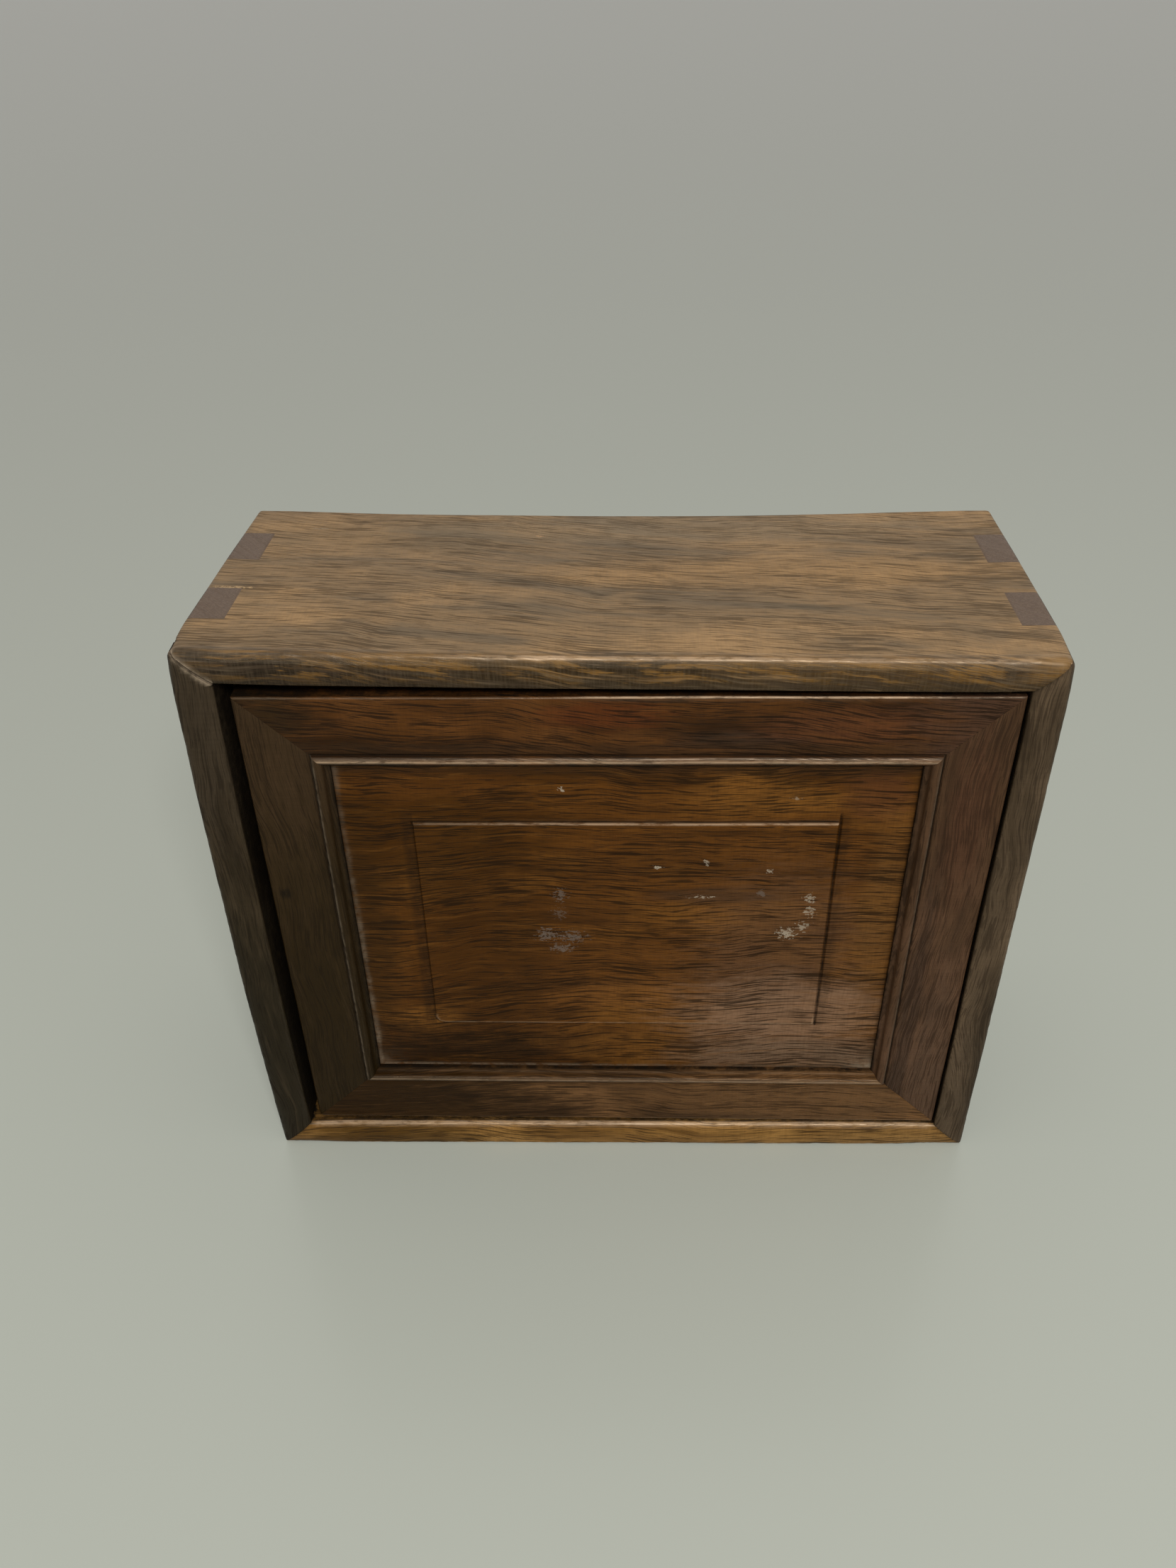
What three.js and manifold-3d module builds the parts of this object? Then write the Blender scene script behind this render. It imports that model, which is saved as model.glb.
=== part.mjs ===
// A hardwood box that stands on one long side: four dovetailed boards round a back panel, closed at the
// front by an inset frame-and-panel lid that turns on two hidden pins at its right-hand end.
// Millimetres, +Z up. The origin is the middle of the underside, and the lid faces -Y.
import * as THREE from "three";
import { mergeVertices } from "three/addons/utils/BufferGeometryUtils.js";
import Module from "manifold-3d";

// Case
const caseWidth = 250;
const caseHeight = 207;
const caseDepth = 103;
const freeEndRise = 3.2;
const boardThickness = 10.5;
const frontPillow = 1.2;
const caseEdgeRound = 1.2;

// Corner joints of the case
const tailsPerEnd = 2;
const tailFlare = 2.1;
const frontMitreDepth = 8;

// Back panel, held in a groove of all four boards
const backPanelThickness = 6;
const backPanelInset = 3;
const backGrooveDepth = 4;

// Lid
const lidThickness = 12;
const lidGapHinge = 0.8;
const lidGapFree = 2.2;
const lidGapTop = 1.8;
const lidGapBottom = 1.6;
const lidRecess = 1.7;
const lidSwingInDeg = 0.55;
const lidEdgeRound = 1.5;

// Lid frame section, from the outer edge towards the panel
const faceWidth = 19.6;
const quirkWidth = 0.7;
const quirkDepth = 0.6;
const beadWidth = 3;
const beadRise = 1.1;
const coveWidth = 1.7;
const coveDrop = 1.9;
const panelGrooveDepth = 5;

// Lid frame joints: tenons on the two long rails, blind mortises in the two stiles
const tenonSetIn = 6;
const tenonWidth = 13;
const tenonThickness = 3.4;
const tenonBehindFace = 7;
const mortiseEndWall = 5;

// Lid panel
const panelBehindFace = 3.2;
const tongueThickness = 3;
const tongueLength = 4.4;
const fieldBorder = 22.4;
const fieldRise = 0.7;
const panelBackSwell = 1.8;
const panelBackMargin = 1.2;

// Batten that slides into a dovetail groove across the back of the panel
const battenWidth = 10;
const battenFlare = 1;
const battenSlotDepth = 2;
const battenStand = 3.2;
const battenTenonWidth = 6;
const battenTenonLength = 4;
const battenTenonThickness = 2.2;

// Pivot pins
const pinRadius = 1.75;
const pinFromEdge = 5;
const pinBehindFace = 3.5;
const pinInLid = 16;
const pinInBoard = 5.5;
const pinSides = 24;

// Ledges glued inside the case, on which the closed lid rests
const ledgeWidth = 6;
const ledgeThickness = 5;
const ledgeSweepRoom = 1;

// Fits
const jointGap = 0.3;
const overrun = 2;
const roundSteps = 5;

// Places worked out from the sizes
const halfWidth = caseWidth / 2;
const frontY = -caseDepth / 2;
const backY = caseDepth / 2;
const innerX = halfWidth - boardThickness;
const innerBottom = boardThickness;
const innerTop = caseHeight - boardThickness;
const dovetailStep = caseDepth / (2 * tailsPerEnd + 1);

const lidLeft = -innerX + lidGapFree;
const lidRight = innerX - lidGapHinge;
const lidBottom = innerBottom + lidGapBottom;
const lidTop = innerTop - lidGapTop;
const lidFront = frontY + lidRecess;
const lidBack = lidFront + lidThickness;
const memberWidth = faceWidth + quirkWidth + beadWidth + coveWidth;
const sightLeft = lidLeft + memberWidth;
const sightRight = lidRight - memberWidth;
const sightBottom = lidBottom + memberWidth;
const sightTop = lidTop - memberWidth;
const sightMiddle = (sightLeft + sightRight) / 2;

const pinX = lidRight - pinFromEdge;
const pinY = lidFront + pinBehindFace;
const lidSwingIn = THREE.MathUtils.degToRad(lidSwingInDeg);

const tongueFront = lidFront + panelBehindFace;
const tongueBack = tongueFront + tongueThickness;
const fieldFront = tongueFront - fieldRise;
const panelBack = tongueBack + panelBackSwell;
const battenFront = panelBack - battenSlotDepth;
const battenBack = panelBack + battenStand;

const LEFT = -1;
const RIGHT = 1;
const BOTTOM = -1;
const TOP = 1;
const sides = [LEFT, RIGHT];
const ends = [BOTTOM, TOP];

// Solids
const wasm = await Module();
wasm.setup();

function solidOf(geometry) {
  geometry.deleteAttribute("normal");
  geometry.deleteAttribute("uv");
  const merged = mergeVertices(geometry);
  const mesh = new wasm.Mesh({
    numProp: 3,
    vertProperties: merged.attributes.position.array,
    triVerts: merged.index.array,
  });
  return new wasm.Manifold(mesh);
}

function block([x0, x1], [y0, y1], [z0, z1]) {
  const geometry = new THREE.BoxGeometry(x1 - x0, y1 - y0, z1 - z0);
  geometry.translate((x0 + x1) / 2, (y0 + y1) / 2, (z0 + z1) / 2);
  return solidOf(geometry);
}

// A shape drawn in two axes of the part, extruded along the third between two places.
function extruded(shape, length, basis, start) {
  const options = { depth: length, bevelEnabled: false, curveSegments: roundSteps };
  const geometry = new THREE.ExtrudeGeometry(shape, options);
  geometry.applyMatrix4(new THREE.Matrix4().makeBasis(...basis).setPosition(start));
  return solidOf(geometry);
}

const alongAxisX = new THREE.Vector3(1, 0, 0);
const alongAxisY = new THREE.Vector3(0, 1, 0);
const alongAxisZ = new THREE.Vector3(0, 0, 1);
const againstAxisY = new THREE.Vector3(0, -1, 0);

// The shape is drawn as (y, z).
function alongX(shape, [x0, x1]) {
  return extruded(shape, x1 - x0, [alongAxisY, alongAxisZ, alongAxisX], new THREE.Vector3(x0, 0, 0));
}

// The shape is drawn as (x, z), and grows from the far end towards the front.
function alongY(shape, [y0, y1]) {
  return extruded(shape, y1 - y0, [alongAxisX, alongAxisZ, againstAxisY], new THREE.Vector3(0, y1, 0));
}

// The shape is drawn as (x, y).
function alongZ(shape, [z0, z1]) {
  return extruded(shape, z1 - z0, [alongAxisX, alongAxisY, alongAxisZ], new THREE.Vector3(0, 0, z0));
}

function uprightPin(x, y, radius, [z0, z1]) {
  const geometry = new THREE.CylinderGeometry(radius, radius, z1 - z0, pinSides);
  geometry.rotateX(Math.PI / 2);
  geometry.translate(x, y, (z0 + z1) / 2);
  return solidOf(geometry);
}

// A closed outline through corners given as [place, place, rounding].
function roundedOutline(corners) {
  const shape = new THREE.Shape();
  corners.forEach(([p, q, round], i) => {
    const corner = new THREE.Vector2(p, q);
    const before = new THREE.Vector2(...corners.at(i - 1));
    const after = new THREE.Vector2(...corners[(i + 1) % corners.length]);
    const enter = corner.clone().add(before.sub(corner).setLength(round));
    const leave = corner.clone().add(after.sub(corner).setLength(round));
    if (i === 0) shape.moveTo(enter.x, enter.y);
    else shape.lineTo(enter.x, enter.y);
    if (round > 0) shape.quadraticCurveTo(corner.x, corner.y, leave.x, leave.y);
  });
  return shape;
}

function polygon(points) {
  return new THREE.Shape(points.map(([p, q]) => new THREE.Vector2(p, q)));
}

function joined(solids) {
  return solids.reduce((whole, piece) => whole.add(piece));
}

function cutBy(solid, cutters) {
  return cutters.reduce((rest, cutter) => rest.subtract(cutter), solid);
}

// The half of a mitred corner that belongs to the upright piece, or to the level one. The mitre runs from
// the outer to the inner corner; shift moves it outwards, to leave the joint's gap.
function mitreWaste(outer, inner, waste, shift, depthRange) {
  const reach = new THREE.Vector2(outer[0] - inner[0], outer[1] - inner[1]);
  const far = [outer[0] + reach.x + shift, outer[1] + reach.y];
  const near = [inner[0] - reach.x + shift, inner[1] - reach.y];
  const third = waste === "upright" ? [far[0], near[1]] : [near[0], far[1]];
  return alongY(polygon([far, near, third]), depthRange);
}

// Case boards
const caseZ = { [BOTTOM]: 0, [TOP]: caseHeight };
const innerZ = { [BOTTOM]: innerBottom, [TOP]: innerTop };

function caseOutline() {
  const corners = [
    [-halfWidth, 0, caseEdgeRound],
    [halfWidth, 0, caseEdgeRound],
    [halfWidth, caseHeight, caseEdgeRound],
    [-halfWidth, caseHeight, caseEdgeRound],
  ];
  return alongY(roundedOutline(corners), [frontY, backY]);
}

function backGroove() {
  const grooveBack = backY - backPanelInset + jointGap;
  const grooveFront = backY - backPanelInset - backPanelThickness - jointGap;
  return block(
    [-innerX - backGrooveDepth, innerX + backGrooveDepth],
    [grooveFront, grooveBack],
    [innerBottom - backGrooveDepth, innerTop + backGrooveDepth],
  );
}

// One tail, as wide as the dovetail step at the outer face and narrower by the flare at its root.
function tail(index, end, side, grow) {
  const middle = frontY + dovetailStep * (2 * index + 3 / 2);
  const slope = tailFlare / boardThickness;
  const outerHalf = dovetailStep / 2 + grow;
  const reachOut = overrun * slope;
  const reachIn = (boardThickness + overrun) * slope;
  const outerZ = caseZ[end] + end * overrun;
  const rootZ = innerZ[end] - end * overrun;
  const outline = polygon([
    [middle - outerHalf - reachOut, outerZ],
    [middle + outerHalf + reachOut, outerZ],
    [middle + outerHalf - reachIn, rootZ],
    [middle - outerHalf + reachIn, rootZ],
  ]);
  const inside = side * (innerX - grow);
  const outside = side * (halfWidth + overrun);
  return alongX(outline, [Math.min(inside, outside), Math.max(inside, outside)]);
}

function tails(end, side, grow) {
  const places = Array.from({ length: tailsPerEnd }, (_, index) => index);
  return joined(places.map((index) => tail(index, end, side, grow)));
}

function pivotSocket(end) {
  const from = innerZ[end] - end * overrun;
  const to = innerZ[end] + end * (pinInBoard + jointGap);
  return uprightPin(pinX, pinY, pinRadius + jointGap, [Math.min(from, to), Math.max(from, to)]);
}

// A board's section: the front edge is a flat arch from face to face. place turns a distance back from the
// front and one in from the outer face into plane coordinates.
function boardOutline(place) {
  const shape = new THREE.Shape();
  shape.moveTo(...place(frontPillow, 0));
  shape.quadraticCurveTo(...place(-frontPillow, boardThickness / 2), ...place(frontPillow, boardThickness));
  shape.lineTo(...place(caseDepth, boardThickness));
  shape.lineTo(...place(caseDepth, caseEdgeRound));
  shape.quadraticCurveTo(...place(caseDepth, 0), ...place(caseDepth - caseEdgeRound, 0));
  return shape;
}

function levelBoard(end) {
  const outline = boardOutline((back, inwards) => [frontY + back, caseZ[end] - end * inwards]);
  const blank = alongX(outline, [-halfWidth, halfWidth]).intersect(caseOutline());
  const mitreRange = [frontY - overrun, frontY + frontMitreDepth + jointGap];
  const mitres = sides.map((side) =>
    mitreWaste([side * halfWidth, caseZ[end]], [side * innerX, innerZ[end]], "upright", 0, mitreRange),
  );
  const sockets = sides.map((side) => tails(end, side, jointGap));
  return cutBy(blank, [...mitres, ...sockets, backGroove(), pivotSocket(end)]);
}

function uprightBoard(side) {
  const outline = boardOutline((back, inwards) => [side * (halfWidth - inwards), frontY + back]);
  const blank = alongZ(outline, [0, caseHeight]).intersect(caseOutline());
  const mitreRange = [frontY - overrun, frontY + frontMitreDepth];
  const across = [-halfWidth - overrun, halfWidth + overrun];
  const cuts = ends.flatMap((end) => {
    const outer = [side * halfWidth, caseZ[end]];
    const inner = [side * innerX, innerZ[end]];
    const mitre = mitreWaste(outer, inner, "level", side * jointGap, mitreRange);
    const shoulder = innerZ[end] - end * jointGap;
    const past = caseZ[end] + end * overrun;
    const heights = [Math.min(shoulder, past), Math.max(shoulder, past)];
    const waste = block(across, [frontY + frontMitreDepth, backY + overrun], heights);
    return [mitre, waste.subtract(tails(end, side, 0))];
  });
  return cutBy(blank, [...cuts, backGroove()]);
}

function backPanel() {
  const reach = backGrooveDepth - jointGap;
  const back = backY - backPanelInset;
  return block(
    [-innerX - reach, innerX + reach],
    [back - backPanelThickness, back],
    [innerBottom - reach, innerTop + reach],
  );
}

// Lid ledges. The closed lid leans inwards, so its free end is the first to reach them.
const lidReach = pinX - lidLeft;
const ledgeFront = pinY + lidReach * Math.sin(lidSwingIn) + (lidBack - pinY) + jointGap;
const ledgeDepth = [ledgeFront, ledgeFront + ledgeThickness];
const ledgeInner = -innerX + jointGap + ledgeWidth;
const stileSweep = Math.hypot(pinFromEdge, lidBack - pinY);

function freeEndLedge() {
  return block([-innerX + jointGap, ledgeInner], ledgeDepth, [innerBottom + jointGap, innerTop - jointGap]);
}

function railLedge(end) {
  const wall = innerZ[end] - end * jointGap;
  const edge = wall - end * ledgeWidth;
  const reach = [ledgeInner + jointGap, pinX - stileSweep - ledgeSweepRoom];
  return block(reach, ledgeDepth, [Math.min(wall, edge), Math.max(wall, edge)]);
}

// Lid frame. place turns a distance in from the outer edge and one behind the face into plane coordinates.
function memberOutline(place) {
  const quirkEnd = faceWidth + quirkWidth;
  const beadEnd = quirkEnd + beadWidth;
  const grooveRoot = memberWidth - panelGrooveDepth;
  const grooveFront = panelBehindFace - jointGap;
  const grooveBack = panelBehindFace + tongueThickness + jointGap;
  const shape = new THREE.Shape();
  shape.moveTo(...place(0, lidEdgeRound));
  shape.quadraticCurveTo(...place(0, 0), ...place(lidEdgeRound, 0));
  shape.lineTo(...place(faceWidth, 0));
  shape.lineTo(...place(faceWidth + quirkWidth / 2, quirkDepth));
  shape.lineTo(...place(quirkEnd, 0));
  shape.quadraticCurveTo(...place(quirkEnd + beadWidth / 2, -2 * beadRise), ...place(beadEnd, 0));
  shape.lineTo(...place(memberWidth, coveDrop));
  shape.lineTo(...place(memberWidth, grooveFront));
  shape.lineTo(...place(grooveRoot, grooveFront));
  shape.lineTo(...place(grooveRoot, grooveBack));
  shape.lineTo(...place(memberWidth, grooveBack));
  shape.lineTo(...place(memberWidth, lidThickness));
  shape.lineTo(...place(0, lidThickness));
  return shape;
}

const lidX = { [LEFT]: lidLeft, [RIGHT]: lidRight };
const lidZ = { [BOTTOM]: lidBottom, [TOP]: lidTop };
const lidDepth = [lidFront - overrun, lidBack + overrun];

function lidMitre(side, end, waste, shift) {
  const outer = [lidX[side], lidZ[end]];
  const inner = [lidX[side] - side * memberWidth, lidZ[end] - end * memberWidth];
  return mitreWaste(outer, inner, waste, shift, lidDepth);
}

// The tenon at one end of a rail; grow makes the cutter for its mortise.
function tenon(side, end, grow) {
  const tip = lidX[side] - side * (mortiseEndWall - grow);
  const root = lidX[side] - side * (memberWidth + overrun);
  const outer = lidZ[end] - end * (tenonSetIn - grow);
  const inner = lidZ[end] - end * (tenonSetIn + tenonWidth + grow);
  const face = lidFront + tenonBehindFace;
  return block(
    [Math.min(tip, root), Math.max(tip, root)],
    [face - grow, face + tenonThickness + grow],
    [Math.min(outer, inner), Math.max(outer, inner)],
  );
}

function pinHole(end) {
  const from = lidZ[end] + end * overrun;
  const to = lidZ[end] - end * (pinInLid + jointGap);
  return uprightPin(pinX, pinY, pinRadius + jointGap, [Math.min(from, to), Math.max(from, to)]);
}

function battenTenon(end, grow) {
  const edge = end === TOP ? sightTop : sightBottom;
  const tip = edge + end * (battenTenonLength + grow);
  const root = edge - end * overrun;
  const middle = panelBack + battenStand / 2;
  const half = battenTenonThickness / 2 + grow;
  const halfAcross = battenTenonWidth / 2 + grow;
  return block(
    [sightMiddle - halfAcross, sightMiddle + halfAcross],
    [middle - half, middle + half],
    [Math.min(tip, root), Math.max(tip, root)],
  );
}

function rail(end) {
  const place = (inwards, behind) => [lidFront + behind, lidZ[end] - end * inwards];
  const bar = alongX(memberOutline(place), [lidLeft, lidRight]);
  const mitres = sides.map((side) => lidMitre(side, end, "upright", 0));
  const mitred = cutBy(bar, [...mitres, battenTenon(end, jointGap)]);
  const tenons = sides.map((side) => tenon(side, end, 0));
  return joined([mitred, ...tenons]).subtract(pinHole(end));
}

function stile(side) {
  const place = (inwards, behind) => [lidX[side] - side * inwards, lidFront + behind];
  const bar = alongZ(memberOutline(place), [lidBottom, lidTop]);
  const mitres = ends.map((end) => lidMitre(side, end, "level", side * jointGap));
  const mortises = ends.map((end) => tenon(side, end, jointGap));
  const holes = side === RIGHT ? ends.map(pinHole) : [];
  return cutBy(bar, [...mitres, ...mortises, ...holes]);
}

// The batten's section, drawn as (x, y); grow makes the cutter for its slot in the panel.
function battenOutline(grow) {
  const slotHalf = battenWidth / 2 + grow;
  const widest = slotHalf + battenFlare;
  return polygon([
    [sightMiddle - widest, battenFront + jointGap - grow],
    [sightMiddle + widest, battenFront + jointGap - grow],
    [sightMiddle + slotHalf, panelBack],
    [sightMiddle + slotHalf, battenBack],
    [sightMiddle - slotHalf, battenBack],
    [sightMiddle - slotHalf, panelBack],
  ]);
}

function lidPanel() {
  const tongue = block(
    [sightLeft - tongueLength, sightRight + tongueLength],
    [tongueFront, tongueBack],
    [sightBottom - tongueLength, sightTop + tongueLength],
  );
  const field = block(
    [sightLeft + fieldBorder, sightRight - fieldBorder],
    [fieldFront, tongueBack],
    [sightBottom + fieldBorder, sightTop - fieldBorder],
  );
  const swell = block(
    [sightLeft + panelBackMargin, sightRight - panelBackMargin],
    [tongueFront, panelBack],
    [sightBottom + panelBackMargin, sightTop - panelBackMargin],
  );
  const slot = alongZ(battenOutline(jointGap), [sightBottom - overrun, sightTop + overrun]);
  return joined([tongue, field, swell]).subtract(slot);
}

function lidBatten() {
  const bar = alongZ(battenOutline(0), [sightBottom + jointGap, sightTop - jointGap]);
  return joined([bar, ...ends.map((end) => battenTenon(end, 0))]);
}

function pivotPin(end) {
  const inLid = lidZ[end] - end * pinInLid;
  const inBoard = innerZ[end] + end * pinInBoard;
  return uprightPin(pinX, pinY, pinRadius, [Math.min(inLid, inBoard), Math.max(inLid, inBoard)]);
}

// Finishes
const wood = (color, roughness) => new THREE.MeshStandardMaterial({ color, roughness, metalness: 0 });
const finishes = {
  caseLong: wood(0x5a3a1c, 0.45),
  caseShort: wood(0x3a2618, 0.45),
  lidFrame: wood(0x4a2513, 0.4),
  lidPanel: wood(0x63350f, 0.4),
  inside: wood(0x6b4a2c, 0.7),
  pin: new THREE.MeshStandardMaterial({ color: 0x8a6d3b, roughness: 0.5, metalness: 1 }),
};

// The case is a little out of true: its height grows evenly from the hinge end to the free end.
function outOfTrue(geometry) {
  const places = geometry.getAttribute("position");
  for (let i = 0; i < places.count; i += 1) {
    const endShare = (halfWidth - places.getX(i)) / caseWidth;
    const heightShare = places.getZ(i) / caseHeight;
    places.setZ(i, places.getZ(i) + freeEndRise * endShare * heightShare);
  }
}

function piece(name, solid, material) {
  const { numProp, vertProperties, triVerts } = solid.getMesh();
  const geometry = new THREE.BufferGeometry();
  const vertices = new THREE.InterleavedBuffer(vertProperties, numProp);
  geometry.setAttribute("position", new THREE.InterleavedBufferAttribute(vertices, 3, 0));
  geometry.setIndex(new THREE.BufferAttribute(triVerts, 1));
  const mesh = new THREE.Mesh(geometry, material);
  mesh.name = name;
  return mesh;
}

const casePieces = [
  piece("case_top_board", levelBoard(TOP), finishes.caseLong),
  piece("case_bottom_board", levelBoard(BOTTOM), finishes.caseLong),
  piece("case_left_board", uprightBoard(LEFT), finishes.caseShort),
  piece("case_right_board", uprightBoard(RIGHT), finishes.caseShort),
  piece("case_back_panel", backPanel(), finishes.inside),
  piece("lid_ledge_left", freeEndLedge(), finishes.inside),
  piece("lid_ledge_top", railLedge(TOP), finishes.inside),
  piece("lid_ledge_bottom", railLedge(BOTTOM), finishes.inside),
];
const caseGroup = new THREE.Group();
casePieces.forEach((mesh) => {
  outOfTrue(mesh.geometry);
  caseGroup.add(mesh);
});

// The lid's pieces are drawn square to the case, and its group turns them inwards about the pins.
const lidPieces = [
  piece("lid_top_rail", rail(TOP), finishes.lidFrame),
  piece("lid_bottom_rail", rail(BOTTOM), finishes.lidFrame),
  piece("lid_left_stile", stile(LEFT), finishes.lidFrame),
  piece("lid_right_stile", stile(RIGHT), finishes.lidFrame),
  piece("lid_panel", lidPanel(), finishes.lidPanel),
  piece("lid_panel_batten", lidBatten(), finishes.inside),
  piece("pivot_pin_upper", pivotPin(TOP), finishes.pin),
  piece("pivot_pin_lower", pivotPin(BOTTOM), finishes.pin),
];
const lidGroup = new THREE.Group();
lidGroup.position.set(pinX, pinY, 0);
lidGroup.rotation.z = -lidSwingIn;
lidPieces.forEach((mesh) => {
  mesh.position.set(-pinX, -pinY, 0);
  lidGroup.add(mesh);
});

const box = new THREE.Group();
box.add(caseGroup, lidGroup);

export default box;
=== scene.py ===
"""Looks of an old hardwood box that stands on one long side.

Four dovetailed boards with slightly pillowed, mitred front edges hold a frame-and-panel lid with a small
bead round a fielded panel. Everything is built in millimetres, square and straight, and is then bent a
little out of true, as the box has become with age. Blender's metres come in only as a mesh is made.
"""
import math

import bmesh
import bpy
import numpy as np
from mathutils import Matrix, Vector, noise


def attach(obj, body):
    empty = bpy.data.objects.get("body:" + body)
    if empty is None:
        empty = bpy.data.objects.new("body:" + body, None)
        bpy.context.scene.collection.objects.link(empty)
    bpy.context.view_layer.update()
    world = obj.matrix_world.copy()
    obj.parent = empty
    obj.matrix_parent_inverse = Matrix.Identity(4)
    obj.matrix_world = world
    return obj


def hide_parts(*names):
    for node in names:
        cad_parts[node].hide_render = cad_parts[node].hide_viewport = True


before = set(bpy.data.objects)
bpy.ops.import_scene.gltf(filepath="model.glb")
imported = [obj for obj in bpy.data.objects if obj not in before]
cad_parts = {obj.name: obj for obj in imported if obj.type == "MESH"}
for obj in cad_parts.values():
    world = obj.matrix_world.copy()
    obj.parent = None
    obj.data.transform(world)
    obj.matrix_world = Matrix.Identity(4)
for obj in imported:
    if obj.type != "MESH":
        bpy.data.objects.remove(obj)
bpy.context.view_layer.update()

MM = 0.001

# Case
CASE_WIDTH = 250
CASE_HEIGHT = 207
CASE_DEPTH = 103
BOARD = 10.5
PILLOW = 1.2
PILLOW_POWER = 2.2
PILLOW_BLEND = 14
MITRE_DEPTH = 8
TAIL_COUNT = 2
TAIL_FLARE = 2.1
TAIL_FIT = 0.07
MITRE_FIT = 0.05
MITRE_OPEN = 1.2
FRONT_ROUND = 1.1
INNER_ROUND = 0.5
LOW_INNER_ROUND = 1
BACK_ROUND = 1.2
CORNER_ROUND = 0.9
TOP_CORNER_ROUND = 1.5
TOP_FRONT_CORNER_ROUND = 3.6
FRONT_CORNER_ROUND = 2.6
BACK_CORNER_ROUND = 1.8
CORNER_REACH = 12

# Back panel and the groove that it sits in
BACK_THICKNESS = 6
BACK_INSET = 3
GROOVE_DEPTH = 4
GROOVE_FIT = 0.3

# How far the case has moved out of true
RISE_FRONT = 4.4
RISE_BACK = 1.8
SAG_FRONT = 0.6
SAG_BACK = 2.3
LEAN_LEFT_LOW = 1.6
LEAN_LEFT_HIGH = 2
BOW_LEFT = 1.5
LEAN_RIGHT_LOW = -1.1
LEAN_RIGHT_HIGH = 0
RACK = 0.6

# Lid, drawn square to the case
LID_THICKNESS = 12
GAP_HINGE = 0.8
GAP_FREE = 2.2
GAP_TOP = 1.8
GAP_BOTTOM = 1.6
RECESS = 1.7
SWING_IN = math.radians(0.55)
LID_SAG = math.radians(0.15)
FACE_WIDTH = 19.6
QUIRK_WIDTH = 0.7
QUIRK_DEPTH = 0.6
BEAD_WIDTH = 3
BEAD_RISE = 1.1
COVE_WIDTH = 1.7
COVE_DROP = 1.9
LID_ROUND = 0.6
LID_CORNER_ROUND = 1.8
# Where the painted highlight along the top rail's outer edge is brightest, from the rail's left end
HIGHLIGHT_MIDDLE = 150
HIGHLIGHT_REACH = 50
FRAME_FIT = 0.05

# Lid panel
PANEL_BEHIND = 3.2
TONGUE = 3
TONGUE_LENGTH = 4.4
FIELD_BORDER = 22.4
FIELD_RISE = 0.7
FIELD_CORNER_ROUND = 3
PANEL_SWELL = 1.8
PANEL_MARGIN = 1.2
BATTEN_WIDTH = 10
BATTEN_STAND = 3.2
BATTEN_LET_IN = 0.5

# Pivot pins and the ledges behind the lid
PIN_RADIUS = 1.75
PIN_FROM_EDGE = 5
PIN_BEHIND = 3.5
PIN_IN_LID = 16
PIN_IN_BOARD = 5.5
LEDGE_WIDTH = 6
LEDGE_THICKNESS = 5
LEDGE_SWEEP_ROOM = 1
REST_GAP = 0.3

# Places worked out from the sizes
HALF = CASE_WIDTH / 2
FRONT_Y = -CASE_DEPTH / 2
BACK_Y = CASE_DEPTH / 2
INNER_X = HALF - BOARD
INNER_LOW = BOARD
INNER_HIGH = CASE_HEIGHT - BOARD
STEP = CASE_DEPTH / (2 * TAIL_COUNT + 1)
LID_LEFT = -INNER_X + GAP_FREE
LID_RIGHT = INNER_X - GAP_HINGE
LID_LOW = INNER_LOW + GAP_BOTTOM
LID_HIGH = INNER_HIGH - GAP_TOP
LID_FRONT = FRONT_Y + RECESS
LID_BACK = LID_FRONT + LID_THICKNESS
MEMBER = FACE_WIDTH + QUIRK_WIDTH + BEAD_WIDTH + COVE_WIDTH
PIN_X = LID_RIGHT - PIN_FROM_EDGE
PIN_Y = LID_FRONT + PIN_BEHIND
LEFT, RIGHT = -1, 1
LOW, HIGH = -1, 1


# Small helpers for shapes

def blend_step(value, start, end):
    """0 before start and 1 after end, with a soft change between them."""
    share = np.clip((value - start) / (end - start), 0, 1)
    return share * share * (3 - 2 * share)


def ridge(value, middle, half_width):
    """1 at the middle, falling softly to 0 on both sides of it."""
    return np.exp(-((value - middle) / half_width) ** 2)


def stations(start, *rest):
    """Places along a line: where it starts, and then pairs of the longest step and the place to reach."""
    places = [start]
    for step, end in zip(rest[::2], rest[1::2]):
        count = max(1, math.ceil(abs(end - start) / step - 1e-6))
        places.extend(start + (end - start) * i / count for i in range(1, count + 1))
        start = end
    return np.array(places)


def round_corner(a, b, radius):
    """a and b are distances in from two faces. The square corner between them becomes a round one."""
    out_a = np.clip(1 - a / radius, 0, 1)
    out_b = np.clip(1 - b / radius, 0, 1)
    scale = np.maximum(out_a, out_b) / np.maximum(np.hypot(out_a, out_b), 1e-9)
    near = (a < radius) & (b < radius)
    return np.where(near, radius * (1 - out_a * scale), a), np.where(near, radius * (1 - out_b * scale), b)


def noise_at(points, wavelength, seed):
    """Smooth noise from about -1 to 1 at each point."""
    shift = Vector((seed * 17.3, seed * 5.7, seed * 11.9))
    return np.array([noise.noise(Vector(p) / wavelength + shift) for p in points])


def unevenness(points):
    """Hand-planed surfaces: a field of small moves that neighbouring pieces share."""
    move = np.zeros((len(points), 3))
    for wavelength, size in ((42, 0.16), (13, 0.05)):
        for axis in range(3):
            move[:, axis] += size * noise_at(points, wavelength, axis + 1)
    return move


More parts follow.
